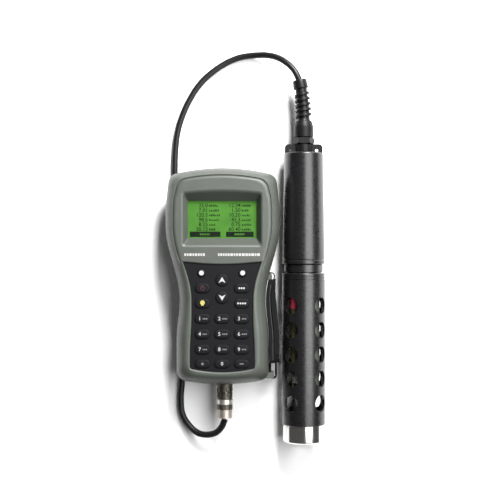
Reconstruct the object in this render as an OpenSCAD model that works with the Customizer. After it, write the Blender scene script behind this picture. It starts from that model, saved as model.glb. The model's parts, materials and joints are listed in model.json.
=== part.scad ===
// Portable water quality set: a handheld meter, a submersible sensor probe and the lead that joins them.
// The set lies on its back. +X is to the right, +Y towards the display end, +Z up, and the floor is z = 0.
// The origin is on the floor, under the middle of the box round the meter and the probe.

/* [Meter] */
// Length of the meter along Y
meter_l = 218; // [214:1:222]
// Height of the face above the floor
meter_h = 55; // [54:0.5:58]
// Width across the display
upper_w = 115; // [113:0.5:117]
// Width at the waist
waist_w = 86.8; // [85:0.2:89]
// Width across the keypad's lower end
lower_w = 92.8; // [91:0.2:95]
// Height of the joint line between the two shells
parting_z = 34; // [33:0.5:35]
// Thickness of the shell walls
shell_t = 2.6; // [2.2:0.1:3]

/* [Display and keys] */
// Width of the display recess at the face
recess_w = 77.8; // [76:0.2:79]
// Depth from the face down to the window
recess_d = 9; // [7:0.5:10]
// Width of the visible display
glass_w = 68.8; // [66:0.2:70]
// Height of the visible display
glass_l = 37.2; // [36:0.2:39]
// Distance between key columns
key_pitch_x = 19.4; // [19:0.1:20]
// Distance between key rows
key_pitch_y = 15.2; // [14.6:0.1:15.4]
// How far a key stands above the keypad
key_rise = 1.2; // [1:0.1:1.4]
// How far a key travels when it is pressed
key_travel = 0.8; // [0.5:0.1:0.9]

/* [Battery] */
// Diameter of a cell
cell_d = 26.2; // [25:0.1:26.2]
// Length of a cell
cell_l = 50; // [48:0.5:50]

/* [Probe] */
// Distance between the meter's and the probe's axes
axis_gap = 82.4; // [81.4:0.2:86]
// Diameter of the shield, which is also what the probe rests on
shield_d = 44; // [43:0.5:45]
// Length of the end weight
weight_l = 18; // [14:1:20]
// Length of the shield
shield_l = 154; // [150:1:158]
// Length of the bare neck between the shield and the body
neck_l = 9; // [7:0.5:10]
// Length of the body tube
body_l = 113; // [110:1:116]
// Height of the two tether ears above the body tube
ear_l = 9; // [8:0.5:10]
// Diameter of a tether hole
tether_d = 3.2; // [3:0.1:3.6]
// Diameter of a flow hole in the shield
flow_d = 16; // [12:0.5:17]
// Distance between rows of flow holes
flow_pitch = 24.6; // [22:0.2:25]
// Length of a sensor below its socket
sensor_l = 104; // [90:1:106]

/* [Lead] */
// Diameter of the lead
lead_d = 6.6; // [6:0.1:6.6]
// Diameter of the plug's turning collar
collar_d = 16; // [15:0.5:17]

/* [Hidden] */
// Keys as [name, x, y, width, length]
digit_w = 15.4;
digit_l = 9.6;
soft_d = 8.4;
first_row_y = -41.8;
last_row_y = first_row_y - 44.7;
KEYS = concat(
    [["key_soft_left", -20.4, 3.5, soft_d, soft_d], ["key_soft_right", 20.4, 3.5, soft_d, soft_d],
     ["key_up", 0, -3.6, 13, 12], ["key_down", 0, -20.8, 13, 12],
     ["key_power", -key_pitch_x, -11.6, digit_w, digit_l], ["key_lamp", -key_pitch_x, -26.6, digit_w, digit_l],
     ["key_escape", key_pitch_x, -11.6, digit_w, digit_l], ["key_help", key_pitch_x, -26.6, digit_w, digit_l]],
    [for (n = [1 : 9]) let (row = floor((n - 1) / 3), col = (n - 1) % 3)
        [str("key_", n), (col - 1) * key_pitch_x, first_row_y - row * key_pitch_y, digit_w, digit_l]],
    [["key_point", -key_pitch_x, last_row_y, digit_w, digit_l - 1], ["key_0", 0, last_row_y, digit_w, digit_l - 1],
     ["key_minus", key_pitch_x, last_row_y, digit_w, digit_l - 1]]);

$fn = 48;

// Small clearance so that a cut passes its face
eps = 0.05;
// Gap left between pieces that move past each other
slide_gap = 0.35;
// Running clearance round a shaft
run_gap = 0.05;

// Where the meter's and the probe's axes lie, so that the box round both is centred on the origin
meter_x = (upper_w / 2 - axis_gap - shield_d / 2) / 2;
meter_y = -15.5;
probe_x = meter_x + axis_gap;
probe_z = shield_d / 2;

// The lead's route from the probe's strain relief, over the floor and under the meter, to the plug
ROUTE = [
    [54.8, 183.2, 22], [51.8, 189.8, 21.8], [48.8, 194.9, 20.9], [41.8, 202.2, 18.6], [33, 208, 15.2],
    [23.5, 211.2, 11.2], [13.5, 212.2, 7.8], [4, 211.9, 5.4], [-5.4, 210.5, 4.1], [-14, 207.7, 3.6],
    [-22, 203.8, 3.5], [-36, 194.2, 3.5], [-48, 182.5, 3.5], [-57.3, 168.5, 3.5], [-65, 152.4, 3.5],
    [-70.8, 133.3, 3.5], [-73.4, 110.2, 3.5], [-73.8, 96, 3.5], [-73.8, 80, 3.5], [-73.7, 60, 3.5],
    [-73.2, 38, 3.5], [-71.2, 16, 3.5], [-66.8, -8, 3.5], [-62.8, -32, 3.5], [-62, -56, 3.5],
    [-63.3, -84, 3.5], [-65, -110, 3.5], [-66.6, -128, 3.5], [-67.6, -146, 3.6], [-65.8, -159.2, 4.6],
    [-59.8, -169.4, 7], [-50, -177.5, 11], [-43.2, -179, 13.8], [-36.3, -178.3, 16.6],
    [-30, -175.7, 19.2], [-25, -170.2, 21.6], [-21.4, -161.9, 23]];
ROUTE_END = len(ROUTE) - 1;
lead_sides = 10;

// ---------------------------------------------------------------- meter outline
// Places along Y, from the meter's middle, where the side curves begin and end
lower_y = -65;
waist_y = -24;
upper_y = 52;
crown_y = 62;
shoulder_y = 100;
crown_w = 109.8;
top_r = 197;
bottom_r = 210;
corner_r = 11;
side_steps = 15;
corner_steps = 4;
end_steps = 3;

function ease(t) = t <= 0 ? 0 : t >= 1 ? 1 : (1 - cos(180 * t)) / 2;
function half_w(y) =
    lower_w / 2
    + (waist_w - lower_w) / 2 * ease((y - lower_y) / (waist_y - lower_y))
    + (upper_w - waist_w) / 2 * ease((y - waist_y) / (upper_y - waist_y))
    + (crown_w - upper_w) / 2 * ease((y - crown_y) / (shoulder_y - crown_y));

// Corner radius, corner centre and the angle where the corner meets the end arc
function round_r(inset) = corner_r + 0.25 * inset;
function corner_x(w, inset) = w / 2 - inset - round_r(inset);
function corner_rise(w, r, inset) =
    sqrt(pow(r - inset - round_r(inset), 2) - pow(corner_x(w, inset), 2));
function corner_a(w, r, inset) = atan2(corner_rise(w, r, inset), corner_x(w, inset));

// Right-hand end of the outline, from the side round the corner to the middle of the end arc
function end_points(w, r, inset) = concat(
    [for (k = [0 : corner_steps])
        let (a = corner_a(w, r, inset) * k / corner_steps)
        [corner_x(w, inset) + round_r(inset) * cos(a),
         meter_l / 2 - r + corner_rise(w, r, inset) + round_r(inset) * sin(a)]],
    [for (k = [1 : end_steps])
        let (a = corner_a(w, r, inset) + (90 - corner_a(w, r, inset)) * k / end_steps)
        [(r - inset) * cos(a), meter_l / 2 - r + (r - inset) * sin(a)]]);

function flip_y(points) = [for (k = [len(points) - 1 : -1 : 0]) [points[k].x, -points[k].y]];
function side_points(low, high, inset) = [for (k = [1 : side_steps - 1])
    let (y = low + (high - low) * k / side_steps) [half_w(y) - inset, y]];
function right_half(inset) =
    let (top = end_points(crown_w, top_r, inset), bottom = flip_y(end_points(lower_w, bottom_r, inset)))
    concat(bottom, side_points(bottom[len(bottom) - 1].y, top[0].y, inset), top);
function outline(inset) =
    let (half = right_half(inset), n = len(half))
    concat(half, [for (k = [n - 2 : -1 : 1]) [-half[k].x, half[k].y]]);

// Shell sections as [height, inset from the widest outline]
BACK_Z = 1.5;
REAR_RINGS = [[BACK_Z, 13.6], [3, 12], [8, 10.4], [16, 5.8], [25, 1.6], [parting_z - 0.4, 0]];
REAR_HOLLOW = [[4.4, 16.5], [9, 13.4], [17, 8.6], [26, 4.2], [parting_z - 0.3, shell_t]];
FRONT_RINGS = [[parting_z + 0.4, 0], [parting_z + 6, 0.7], [meter_h - 8, 3], [meter_h - 3.6, 6.2],
    [meter_h - 1.2, 9], [meter_h, 12]];
FRONT_HOLLOW = [[parting_z + 0.3, shell_t], [meter_h - 9, 5.6], [meter_h - 5, 8.6],
    [meter_h - shell_t, 14]];

// Cap of one ring, as strips between the right half and its mirror image
function cap_faces(first, n) =
    let (h = n / 2)
    concat([[first, first + 1, first + n - 1]],
        [for (k = [1 : h - 2]) each [[first + k, first + k + 1, first + n - k],
            [first + k + 1, first + n - k - 1, first + n - k]]],
        [[first + h - 1, first + h, first + h + 1]]);
function flip(faces) = [for (f = faces) [f[2], f[1], f[0]]];
module loft(rings) {
    n = len(outline(0));
    m = len(rings);
    points = [for (r = rings) for (p = outline(r[1])) [p.x, p.y, r[0]]];
    walls = [for (j = [0 : m - 2]) for (i = [0 : n - 1])
        let (a = j * n + i, b = j * n + (i + 1) % n)
        each [[a, a + n, b + n], [a, b + n, b]]];
    polyhedron(
        points = points,
        faces = concat(cap_faces(0, n), walls, flip(cap_faces((m - 1) * n, n))),
        convexity = 6);
}
module on_meter() translate([meter_x, meter_y, 0]) children();

// ---------------------------------------------------------------- display recess
recess_top = 85.2;
recess_low = 30.3;
recess_bulge = 2.4;
glass_top = 75.2;
glass_mid = glass_top - glass_l / 2;
window_z = meter_h - recess_d;
window_t = 1.2;
window_rim = 2.4;

// Recess outline at the face, with an arched top edge
function recess_points() = concat(
    [[-recess_w / 2, recess_low], [recess_w / 2, recess_low]],
    [for (k = [0 : 6]) let (x = recess_w / 2 * (1 - k / 3))
        [x, recess_top - recess_bulge * pow(2 * x / recess_w, 2)]]);
function glass_points() = concat(
    [[-glass_w / 2, glass_top - glass_l], [glass_w / 2, glass_top - glass_l]],
    [for (k = [0 : 6]) [glass_w / 2 * (1 - k / 3), glass_top]]);
function fan(first, n) = [for (i = [1 : n - 2]) [first, first + i, first + i + 1]];
module recess_cut() {
    low = glass_points();
    high = recess_points();
    n = len(low);
    polyhedron(
        points = concat([for (p = low) [p.x, p.y, window_z - eps]], [for (p = high) [p.x, p.y, meter_h + eps]]),
        faces = concat(fan(0, n),
            [for (i = [0 : n - 1]) let (j = (i + 1) % n) each [[i, n + i, n + j], [i, n + j, j]]],
            flip(fan(n, n))));
}

// ---------------------------------------------------------------- keypad
pad_z = meter_h - 1.6;
pad_flange_z = meter_h - shell_t;
pad_top = 14.2;
pad_low = -94.9;

// Keypad half-width: wide under the display, narrow at the waist, a little wider again at the foot
function pad_half(y) = 30.2 + 8.8 * pow(max(0, (y + 22) / (pad_top + 22)), 1.7)
    + 1.6 * ease((-38 - y) / 40);
function pad_points(inset) =
    let (steps = 14, low = pad_low + 3.4 + inset, high = pad_top - inset,
        side = [for (k = [0 : steps]) let (y = low + (high - low) * k / steps) [pad_half(y) - inset, y]])
    concat(
        [for (k = [-3 : 3]) [k * 9.4 * (1 - inset / 40), pad_low + inset + 0.32 * k * k]],
        side,
        [for (k = [2 : -1 : -2]) [k * 12, high - 2.4 * (1 - k * k / 9)]],
        [for (k = [steps : -1 : 0]) [-side[k].x, side[k].y]]);

// Flat oval with half-round ends
module oval(w, l) {
    circle_d = min(w, l);
    square([w - circle_d + eps, l], center = true);
    square([w, l - circle_d + eps], center = true);
    for (sx = [-1, 1])
        for (sy = [-1, 1])
            translate([sx * (w - circle_d) / 2, sy * (l - circle_d) / 2]) circle(d = circle_d);
}
stem_d = 4;
stem_foot = pad_z - 4.4;
module key(k) {
    on_meter() translate([k[1], k[2], 0]) {
        translate([0, 0, pad_flange_z - 1.4])
            linear_extrude(pad_z + key_rise - pad_flange_z + 0.8) oval(k[3], k[4]);
        translate([0, 0, pad_z + key_rise - 0.6]) linear_extrude(0.6) oval(k[3] - 1.2, k[4] - 1.2);
        translate([0, 0, stem_foot]) cylinder(d = stem_d, h = pad_flange_z - 1.4 - stem_foot + eps);
    }
}
module keypad_mat() {
    color("DimGray") on_meter() difference() {
        union() {
            translate([0, 0, pad_flange_z - 2]) linear_extrude(2) polygon(pad_points(-2.2));
            translate([0, 0, pad_flange_z - eps]) linear_extrude(pad_z - pad_flange_z + eps)
                polygon(pad_points(0.25));
        }
        for (k = KEYS)
            translate([k[1], k[2], pad_flange_z - 2 - eps]) linear_extrude(4)
                oval(k[3] + 2 * slide_gap, k[4] + 2 * slide_gap);
    }
}

// ---------------------------------------------------------------- shells
top_screw = [36, 84];
low_screw = [26, -86];
SCREWS = [for (p = [top_screw, low_screw]) for (s = [-1, 1]) [s * p.x, p.y]];
pilot_l = 8;
screw_d = 3;
post_d = 11;
foot_d = 7.6;
foot_l = 3;
LUGS = [[48.3, -1.2], [50.4, -100.6]];
lug_z = 17;
lug_h = 15;
lug_reach = 13;
pin_d = 2.4;
socket_z = ROUTE[ROUTE_END].z;
plug_x = ROUTE[ROUTE_END].x;
wall_y = meter_y - meter_l / 2;
socket_bore = 13;

// Anything turned about an axis along +Y, drawn with its radius along X and its length along Z
module along_y(x, y, z) translate([x, y, z]) rotate([-90, 0, 0]) children();

cover_w = 59;
cover_low = -80;
cover_high = 42;
cover_t = 1.6;
cell_mid = (cover_low + cover_high) / 2;
bay_w = 55;
bay_l = 2 * cell_l + 3;
COVER_SCREWS = [[0, cover_low + 4.5], [0, cover_high - 4.5]];

module front_shell() {
    color([0.5, 0.52, 0.49]) on_meter() difference() {
        union() {
            difference() {
                loft(FRONT_RINGS);
                loft(FRONT_HOLLOW);
            }
            translate([-recess_w / 2 - 2, recess_low - 2, window_z])
                cube([recess_w + 4, recess_top - recess_low + 4, recess_d - 1]);
            for (p = SCREWS)
                translate([p.x, p.y, parting_z + 0.4])
                    cylinder(d = 7, h = p.y > 0 ? meter_h - parting_z - 2 : pilot_l + 1.6);
            for (s = [-1, 1])
                translate([s > 0 ? low_screw.x : -half_w(low_screw.y) + 3, low_screw.y - 1.5, parting_z + 0.4])
                    cube([half_w(low_screw.y) - 3 - low_screw.x, 3, pilot_l]);
        }
        recess_cut();
        translate([0, 0, pad_flange_z - 2]) linear_extrude(2 + eps) polygon(pad_points(-2.5));
        translate([0, 0, pad_flange_z - eps]) linear_extrude(4) polygon(pad_points(0));
        for (p = SCREWS)
            translate([p.x, p.y, parting_z]) cylinder(d = screw_d + 2 * run_gap, h = pilot_l);
    }
}

module rear_shell() {
    color([0.42, 0.44, 0.41]) on_meter() difference() {
        union() {
            difference() {
                loft(REAR_RINGS);
                loft(REAR_HOLLOW);
            }
            for (p = SCREWS)
                translate([p.x, p.y, BACK_Z]) cylinder(d = post_d, h = parting_z - 0.4 - BACK_Z);
            for (p = COVER_SCREWS)
                translate([p.x, p.y, BACK_Z + cover_t]) cylinder(d = 9, h = 12);
            for (p = LUGS)
                for (z = [lug_z, lug_z + lug_h - 2])
                    translate([p.x - lug_reach, p.y - 3, z]) cube([lug_reach + pin_d / 2 + 0.4, 6, 2]);
            along_y(plug_x - meter_x, -meter_l / 2 + 2, socket_z) cylinder(d = 20, h = 8);
        }
        for (p = SCREWS)
            translate([p.x, p.y, 0]) {
                cylinder(d = 8, h = 6);
                cylinder(d = screw_d + 2 * run_gap, h = parting_z + 1);
            }
        for (p = COVER_SCREWS)
            translate([p.x, p.y, 0]) cylinder(d = screw_d + 2 * slide_gap, h = 13);
        translate([-cover_w / 2 - slide_gap, cover_low - slide_gap, 0])
            cube([cover_w + 2 * slide_gap, cover_high - cover_low + 2 * slide_gap, BACK_Z + cover_t]);
        translate([-bay_w / 2, cell_mid - bay_l / 2, 0]) cube([bay_w, bay_l, 6]);
        for (p = LUGS)
            translate([p.x, p.y, lug_z - 1]) cylinder(d = pin_d + 2 * run_gap, h = lug_h + 2);
        along_y(plug_x - meter_x, -meter_l / 2 - 1, socket_z) cylinder(d = socket_bore, h = 13);
    }
}

module case_seal() {
    color("Black") on_meter() translate([0, 0, parting_z - 0.4]) linear_extrude(0.8) difference() {
        polygon(outline(0.7));
        polygon(outline(2.3));
    }
}

module display_window() {
    color([0.8, 0.9, 0.85, 0.4]) on_meter()
        translate([-glass_w / 2 - window_rim, glass_mid - glass_l / 2 - window_rim, window_z - window_t])
            cube([glass_w + 2 * window_rim, glass_l + 2 * window_rim, window_t]);
}
module window_seal() {
    color("Black") on_meter() translate([0, glass_mid, window_z - window_t - 0.8]) linear_extrude(0.8)
        difference() {
            square([glass_w + 2 * window_rim, glass_l + 2 * window_rim], center = true);
            square([glass_w, glass_l], center = true);
        }
}
lcd_t = 4.4;
module lcd_module() {
    color("YellowGreen") on_meter() translate([0, glass_mid, window_z - window_t - 0.8 - lcd_t]) {
        translate([-glass_w / 2 - 2, -glass_l / 2 - 2, 0]) cube([glass_w + 4, glass_l + 4, lcd_t]);
        translate([-glass_w / 2 - 5, -glass_l / 2 - 5, -1.6]) cube([glass_w + 10, glass_l + 10, 1.6]);
    }
}

board_t = 1.6;
board_top = stem_foot - key_travel - 0.8;
switch_h = 0.7;
module main_board() {
    color("DarkGreen") on_meter() {
        difference() {
            translate([0, 0, board_top - board_t]) linear_extrude(board_t) polygon(pad_points(1.5));
            for (x = [-26, 26])
                for (y = [-86, 8])
                    translate([x, y, board_top - 2 * board_t]) cylinder(d = 2.6, h = 3 * board_t);
        }
        for (c = [[-20, 0, 14, 14], [8, -4, 10, 18], [-16, -40, 9, 9], [10, -46, 18, 12], [-4, -74, 22, 8]])
            translate([c.x - c[2] / 2, c.y - c[3] / 2, board_top - board_t - 2]) cube([c[2], c[3], 2 + eps]);
    }
}
module key_switches() {
    color("Silver") on_meter() for (k = KEYS)
        translate([k[1], k[2], board_top]) cylinder(d = 6, h = switch_h);
}

cell_z = 5.2 + cell_d / 2;
cell_gap = 0.5;
module battery_cells() {
    color("SteelBlue") on_meter() for (sx = [-1, 1])
        for (sy = [-1, 1])
            along_y(sx * (cell_d + cell_gap) / 2, cell_mid + sy * (cell_l + cell_gap) / 2 - cell_l / 2, cell_z) {
                cylinder(d = cell_d, h = cell_l - 1.5);
                cylinder(d = 8, h = cell_l);
            }
}
module battery_contacts() {
    color("Silver") on_meter() for (end = [-1, 1])
        for (sx = [-1, 1])
            translate([sx * (cell_d + cell_gap) / 2 - 8, cell_mid + end * (cell_l + 1.2) - 0.5, cell_z - 8])
                cube([16, 1, 16]);
}
module battery_cover() {
    color([0.4, 0.42, 0.39]) on_meter() difference() {
        union() {
            translate([-cover_w / 2, cover_low, BACK_Z]) cube([cover_w, cover_high - cover_low, cover_t - 0.1]);
            for (x = [-bay_w / 2 + 1, bay_w / 2 - 2.5])
                translate([x, cell_mid - bay_l / 2 + 1, BACK_Z + cover_t - 0.2]) cube([1.5, bay_l - 2, 1.4]);
        }
        for (p = COVER_SCREWS) translate([p.x, p.y, 0]) {
            cylinder(d = screw_d + 2 * run_gap, h = 6);
            cylinder(d = 6.2, h = BACK_Z + 0.8);
        }
        for (y = [-60 : 4 : -36])
            translate([-11, y, 0]) cube([22, 1.6, BACK_Z + 0.5]);
    }
}
module cover_screws() {
    color("Silver") on_meter() for (p = COVER_SCREWS) translate([p.x, p.y, 0]) difference() {
        union() {
            translate([0, 0, BACK_Z - 0.3]) cylinder(d = 6, h = 1.1);
            translate([0, 0, BACK_Z + 0.7]) cylinder(d = screw_d, h = 9);
        }
        translate([-4, -0.5, 0]) cube([8, 1, BACK_Z + 0.3]);
    }
}
module case_screws() {
    color("Silver") on_meter() for (p = SCREWS) translate([p.x, p.y, 0]) difference() {
        union() {
            translate([0, 0, foot_l + 0.4]) cylinder(d = 5.6, h = 6 - foot_l - 0.4);
            translate([0, 0, 6 - eps]) cylinder(d = screw_d, h = parting_z + pilot_l - 7);
        }
        translate([0, 0, foot_l]) cylinder(d = 2.4, h = 1.4, $fn = 6);
    }
}
module feet() {
    color("Black") on_meter() for (p = SCREWS) translate([p.x, p.y, 0]) cylinder(d = foot_d, h = foot_l);
}

// ---------------------------------------------------------------- connector
// Distances run outwards from the meter's end wall
module from_wall(d) along_y(plug_x, wall_y - d, socket_z) children();
socket_out = 8.8;
collar_from = 9.2;
collar_to = 27.2;
band_to = 34.2;
plug_to = wall_y - ROUTE[ROUTE_END].y;
core_d = 12.4;

module ring(outer, inner, h) difference() {
    cylinder(d = outer, h = h);
    translate([0, 0, -1]) cylinder(d = inner, h = h + 2);
}
module socket_shell() {
    color("Silver") difference() {
        union() {
            from_wall(socket_out) cylinder(d = collar_d, h = socket_out - 0.5);
            from_wall(socket_out) cylinder(d = socket_bore - 2 * run_gap, h = socket_out + 14);
            from_wall(-10.4) cylinder(d = 19, h = 3, $fn = 6);
        }
        from_wall(socket_out + 1) cylinder(d = 10.6, h = socket_out + 10);
        from_wall(socket_out + 1)
            for (a = [0 : 60 : 300])
                rotate([0, 0, a + 15]) translate([collar_d / 2 - 1.2, -1.2, 0]) cube([3, 2.4, 3.5]);
    }
}
pin_circle = 3;
module socket_pins() {
    color("Gold") {
        from_wall(-4) cylinder(d = 10.5, h = 4);
        for (a = [0 : 60 : 300])
            from_wall(6) rotate([0, 0, a]) translate([pin_circle, 0, 0]) cylinder(d = 1, h = 10 + eps);
    }
}
module plug_body() {
    color("Silver") difference() {
        union() {
            from_wall(collar_to + 0.5) cylinder(d = core_d, h = collar_to - collar_from + 0.4);
            from_wall(collar_to + 0.5) cylinder(d = 10.4, h = collar_to - 2);
            from_wall(band_to) cylinder(d = 13.8, h = band_to - collar_to - 0.4);
            from_wall(band_to + 1) cylinder(d = 12, h = 1.2);
            from_wall(plug_to) cylinder(d = 14.6, h = plug_to - band_to - 1 + eps);
        }
        from_wall(band_to - 2) cylinder(d = 9, h = 40);
    }
}
module plug_insert() {
    color("Black") difference() {
        from_wall(14) cylinder(d = 8.9, h = 10.5);
        for (a = [0 : 60 : 300])
            from_wall(10) rotate([0, 0, a]) translate([pin_circle, 0, 0]) cylinder(d = 1.4, h = 8);
    }
}
// Turning collar with notches round both ends of its grip
module plug_collar() {
    color("Silver") difference() {
        from_wall(collar_to) union() {
            ring(collar_d - 0.4, core_d + 2 * run_gap, collar_to - collar_from);
            translate([0, 0, 5.2]) ring(collar_d, core_d + 2 * run_gap, 4.6);
        }
        for (a = [0 : 45 : 315])
            from_wall(collar_to + eps) rotate([0, 0, a + 12]) {
                translate([collar_d / 2 - 1.4, -1.3, 0]) cube([3, 2.6, 3.6]);
                translate([collar_d / 2 - 1.4, -1.3, 12]) cube([3, 2.6, 4]);
            }
    }
}

// ---------------------------------------------------------------- strap
strap_t = 3.2;
strap_top_z = 41;
strap_low_z = 21;
strap_lean = 10.6;
strap_from = -4.6;
strap_to = -88;
loop_d = 7.8;
loop_h = 10;
strap_steps = 8;

// Inner edge of the strap, which follows the side of the meter
function strap_x(y) = half_w(y) + 0.5;
function strap_w(y) = 0.72 + 0.28 * ease((strap_from - y) / 30);
function strap_section(y) =
    let (x = strap_x(y), w = strap_w(y), low = strap_top_z - (strap_top_z - strap_low_z) * w)
    [[x, y, strap_top_z], [x + strap_lean * w, y, low], [x + strap_lean * w + 1, y, low + strap_t],
     [x + 1.8, y, strap_top_z + strap_t * 0.6]];
module hand_strap() {
    n = strap_steps;
    color("Black") on_meter() {
        polyhedron(
            points = [for (k = [0 : n])
                for (p = strap_section(strap_from + (strap_to - strap_from) * k / n)) p],
            faces = concat([[0, 1, 2, 3]],
                [for (k = [0 : n - 1]) for (i = [0 : 3])
                    [4 * k + i, 4 * k + 4 + i, 4 * k + 4 + (i + 1) % 4, 4 * k + (i + 1) % 4]],
                [[4 * n + 3, 4 * n + 2, 4 * n + 1, 4 * n]]));
        translate([LUGS[0].x + 1.6, LUGS[0].y + 0.2, lug_z + 2.5]) {
            ring(loop_d, loop_d - 1.8, loop_h);
            translate([loop_d / 2 - 1.2, -6, 0]) cube([2.4, 6, loop_h]);
        }
    }
}
cord_d = 2.2;
module strap_cord() {
    color("Black") on_meter() {
        translate([LUGS[1].x + 0.5, LUGS[1].y + 5.6, lug_z + lug_h - 2 - cord_d - run_gap])
            linear_extrude(cord_d) difference() {
                oval(8.4, 19);
                oval(8.4 - 2 * cord_d, 19 - 2 * cord_d);
            }
    }
}
module strap_pins() {
    color("Silver") on_meter() for (p = LUGS) translate([p.x, p.y, lug_z + eps])
        cylinder(d = pin_d, h = lug_h - 2 * eps);
}

// ---------------------------------------------------------------- lead
function unit(v) = v / norm(v);
relief_drop = probe_x - ROUTE[0].x;
// Distances along the probe, from the far end of the end weight
probe_end = -(weight_l + shield_l + neck_l + body_l + ear_l + 66) / 2;
shield_low = probe_end + weight_l;
shield_high = shield_low + shield_l;
tube_low = shield_high + neck_l;
tube_high = tube_low + body_l;
ear_high = tube_high + ear_l;
hex_high = ear_high + 7;
nut_high = hex_high + 17;
relief_l = ROUTE[0].y - nut_high;
relief_a = atan(2 * relief_drop / relief_l);

function lead_tangent(i) =
    i == 0 ? [-sin(relief_a), cos(relief_a), 0]
    : i == ROUTE_END ? [0, 1, 0]
    : unit(ROUTE[i + 1] - ROUTE[i - 1]);
function lead_ring(i) =
    let (t = lead_tangent(i), side = unit(cross(t, [0, 0, 1])), up = cross(side, t))
    [for (k = [0 : lead_sides - 1]) let (a = 360 * k / lead_sides)
        ROUTE[i] + lead_d / 2 * (cos(a) * side + sin(a) * up)];
module cable() {
    n = lead_sides;
    color("Black") polyhedron(
        points = [for (i = [0 : ROUTE_END]) for (p = lead_ring(i)) p],
        faces = concat([[for (k = [0 : n - 1]) k]],
            [for (i = [0 : ROUTE_END - 1]) for (k = [0 : n - 1])
                [i * n + k, (i + 1) * n + k, (i + 1) * n + (k + 1) % n, i * n + (k + 1) % n]],
            [[for (k = [n - 1 : -1 : 0]) ROUTE_END * n + k]]));
}

// ---------------------------------------------------------------- probe
module at_probe(y) along_y(probe_x, y, probe_z) children();
// Quarter arc for a rounded edge of a turned profile
function arc(cx, cy, r, from, to, steps = 4) =
    [for (k = [0 : steps]) let (a = from + (to - from) * k / steps) [cx + r * cos(a), cy + r * sin(a)]];

// Strain relief: a leaning sleeve with ribs that shrink towards its tip
rib_count = 6;
rib_pitch = 5.3;
rib_from = 2;
sleeve_r = 5.9;
tip_r = 6.3;
relief_sides = 24;

// Sleeve profile as [distance from the nut, radius]
RELIEF_RINGS = concat(
    [[0, sleeve_r]],
    [for (k = [0 : rib_count - 1])
        let (d = rib_from + k * rib_pitch, r = 8.1 - 0.2 * k)
        each [[d, sleeve_r], [d + 0.3, r], [d + 3, r - 0.7], [d + 3.3, sleeve_r]]],
    [[relief_l - 8.6, sleeve_r], [relief_l - 8, tip_r], [relief_l - 1, tip_r], [relief_l, tip_r - 1]]);
function relief_ring(d, r) =
    let (s = d / relief_l, lean = atan(2 * relief_drop * s / relief_l))
    [for (k = [0 : relief_sides - 1]) let (a = 360 * k / relief_sides)
        [probe_x - relief_drop * s * s + r * cos(a) * cos(lean),
         nut_high + d + r * cos(a) * sin(lean), probe_z + r * sin(a)]];
module strain_relief() {
    n = relief_sides;
    m = len(RELIEF_RINGS);
    color([0.12, 0.12, 0.13]) polyhedron(
        points = [for (ring = RELIEF_RINGS) for (p = relief_ring(ring[0], ring[1])) p],
        faces = concat([[for (k = [0 : n - 1]) k]],
            [for (j = [0 : m - 2]) for (k = [0 : n - 1])
                let (a = j * n + k, b = j * n + (k + 1) % n)
                each [[a, a + n, b + n], [a, b + n, b]]],
            [[for (k = [n - 1 : -1 : 0]) (m - 1) * n + k]]),
        convexity = 6);
}
module gland_nut() {
    color([0.12, 0.12, 0.13]) at_probe(hex_high) rotate_extrude() polygon(concat(
        [[4, 0], [9.8, 0], [10, 0.4], [10, 9]],
        arc(7.6, 13.4, 2.4, 20, 60),
        [[8.3, 17], [4, 17]]));
}
module gland_body() {
    color([0.1, 0.1, 0.11]) difference() {
        union() {
            at_probe(ear_high + 0.2) cylinder(d = 22.4, h = hex_high - ear_high - 0.6, $fn = 6);
            at_probe(ear_high - 10) cylinder(r = 7.2, h = 10.4);
        }
        at_probe(ear_high - 11) cylinder(r = 3.6, h = 20);
    }
}
module gland_seal() {
    color("Black") at_probe(ear_high - 1) rotate_extrude() translate([2.2, 0]) square([1.3, 6]);
}
ear_t = 6;
ear_half = 19.2;
TETHER_X = [-13.2, 13.2];
tether_y = tube_high + 2.6;
module probe_cap() {
    color([0.1, 0.1, 0.11]) difference() {
        union() {
            at_probe(tube_high - 8) cylinder(r = 16.9, h = 8 + eps);
            at_probe(tube_high) cylinder(r = 8.8, h = ear_l);
            for (s = [-1, 1])
                translate([probe_x, tube_high, probe_z - ear_t / 2]) linear_extrude(ear_t) polygon(concat(
                    [[s * 5, 0], [s * ear_half, 0]],
                    [for (p = arc(ear_half - 4, ear_l - 4, 4, 0, 90)) [s * p.x, p.y]],
                    [[s * 5, ear_l]]));
        }
        at_probe(tube_high - 9) cylinder(r = 7.25, h = ear_l + 10);
        for (x = TETHER_X)
            translate([probe_x + x, tether_y, probe_z - ear_t]) cylinder(d = tether_d, h = 2 * ear_t);
    }
}
tube_bore = 17;
module probe_tube() {
    color([0.09, 0.09, 0.1]) at_probe(tube_low) rotate_extrude() polygon(concat(
        [[tube_bore, 0], [21.2, 0], [21.6, 0.4], [21.6, 3.6], [21.2, 4], [21.2, 4.6], [21.6, 5]],
        arc(18.4, body_l - 1.6, 1.6, 8, 90),
        [[tube_bore, body_l]]));
}
module probe_board() {
    color("DarkGreen") translate([probe_x, tube_low + 26, probe_z]) {
        translate([-12, 0, -0.8]) cube([24, body_l - 40, 1.6]);
        for (c = [[-4, 12, 9, 9], [2, 34, 7, 12], [-6, 54, 8, 6]])
            translate([c.x, c.y, 0.8 - eps]) cube([c[2], c[3], 2.2]);
    }
}

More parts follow.
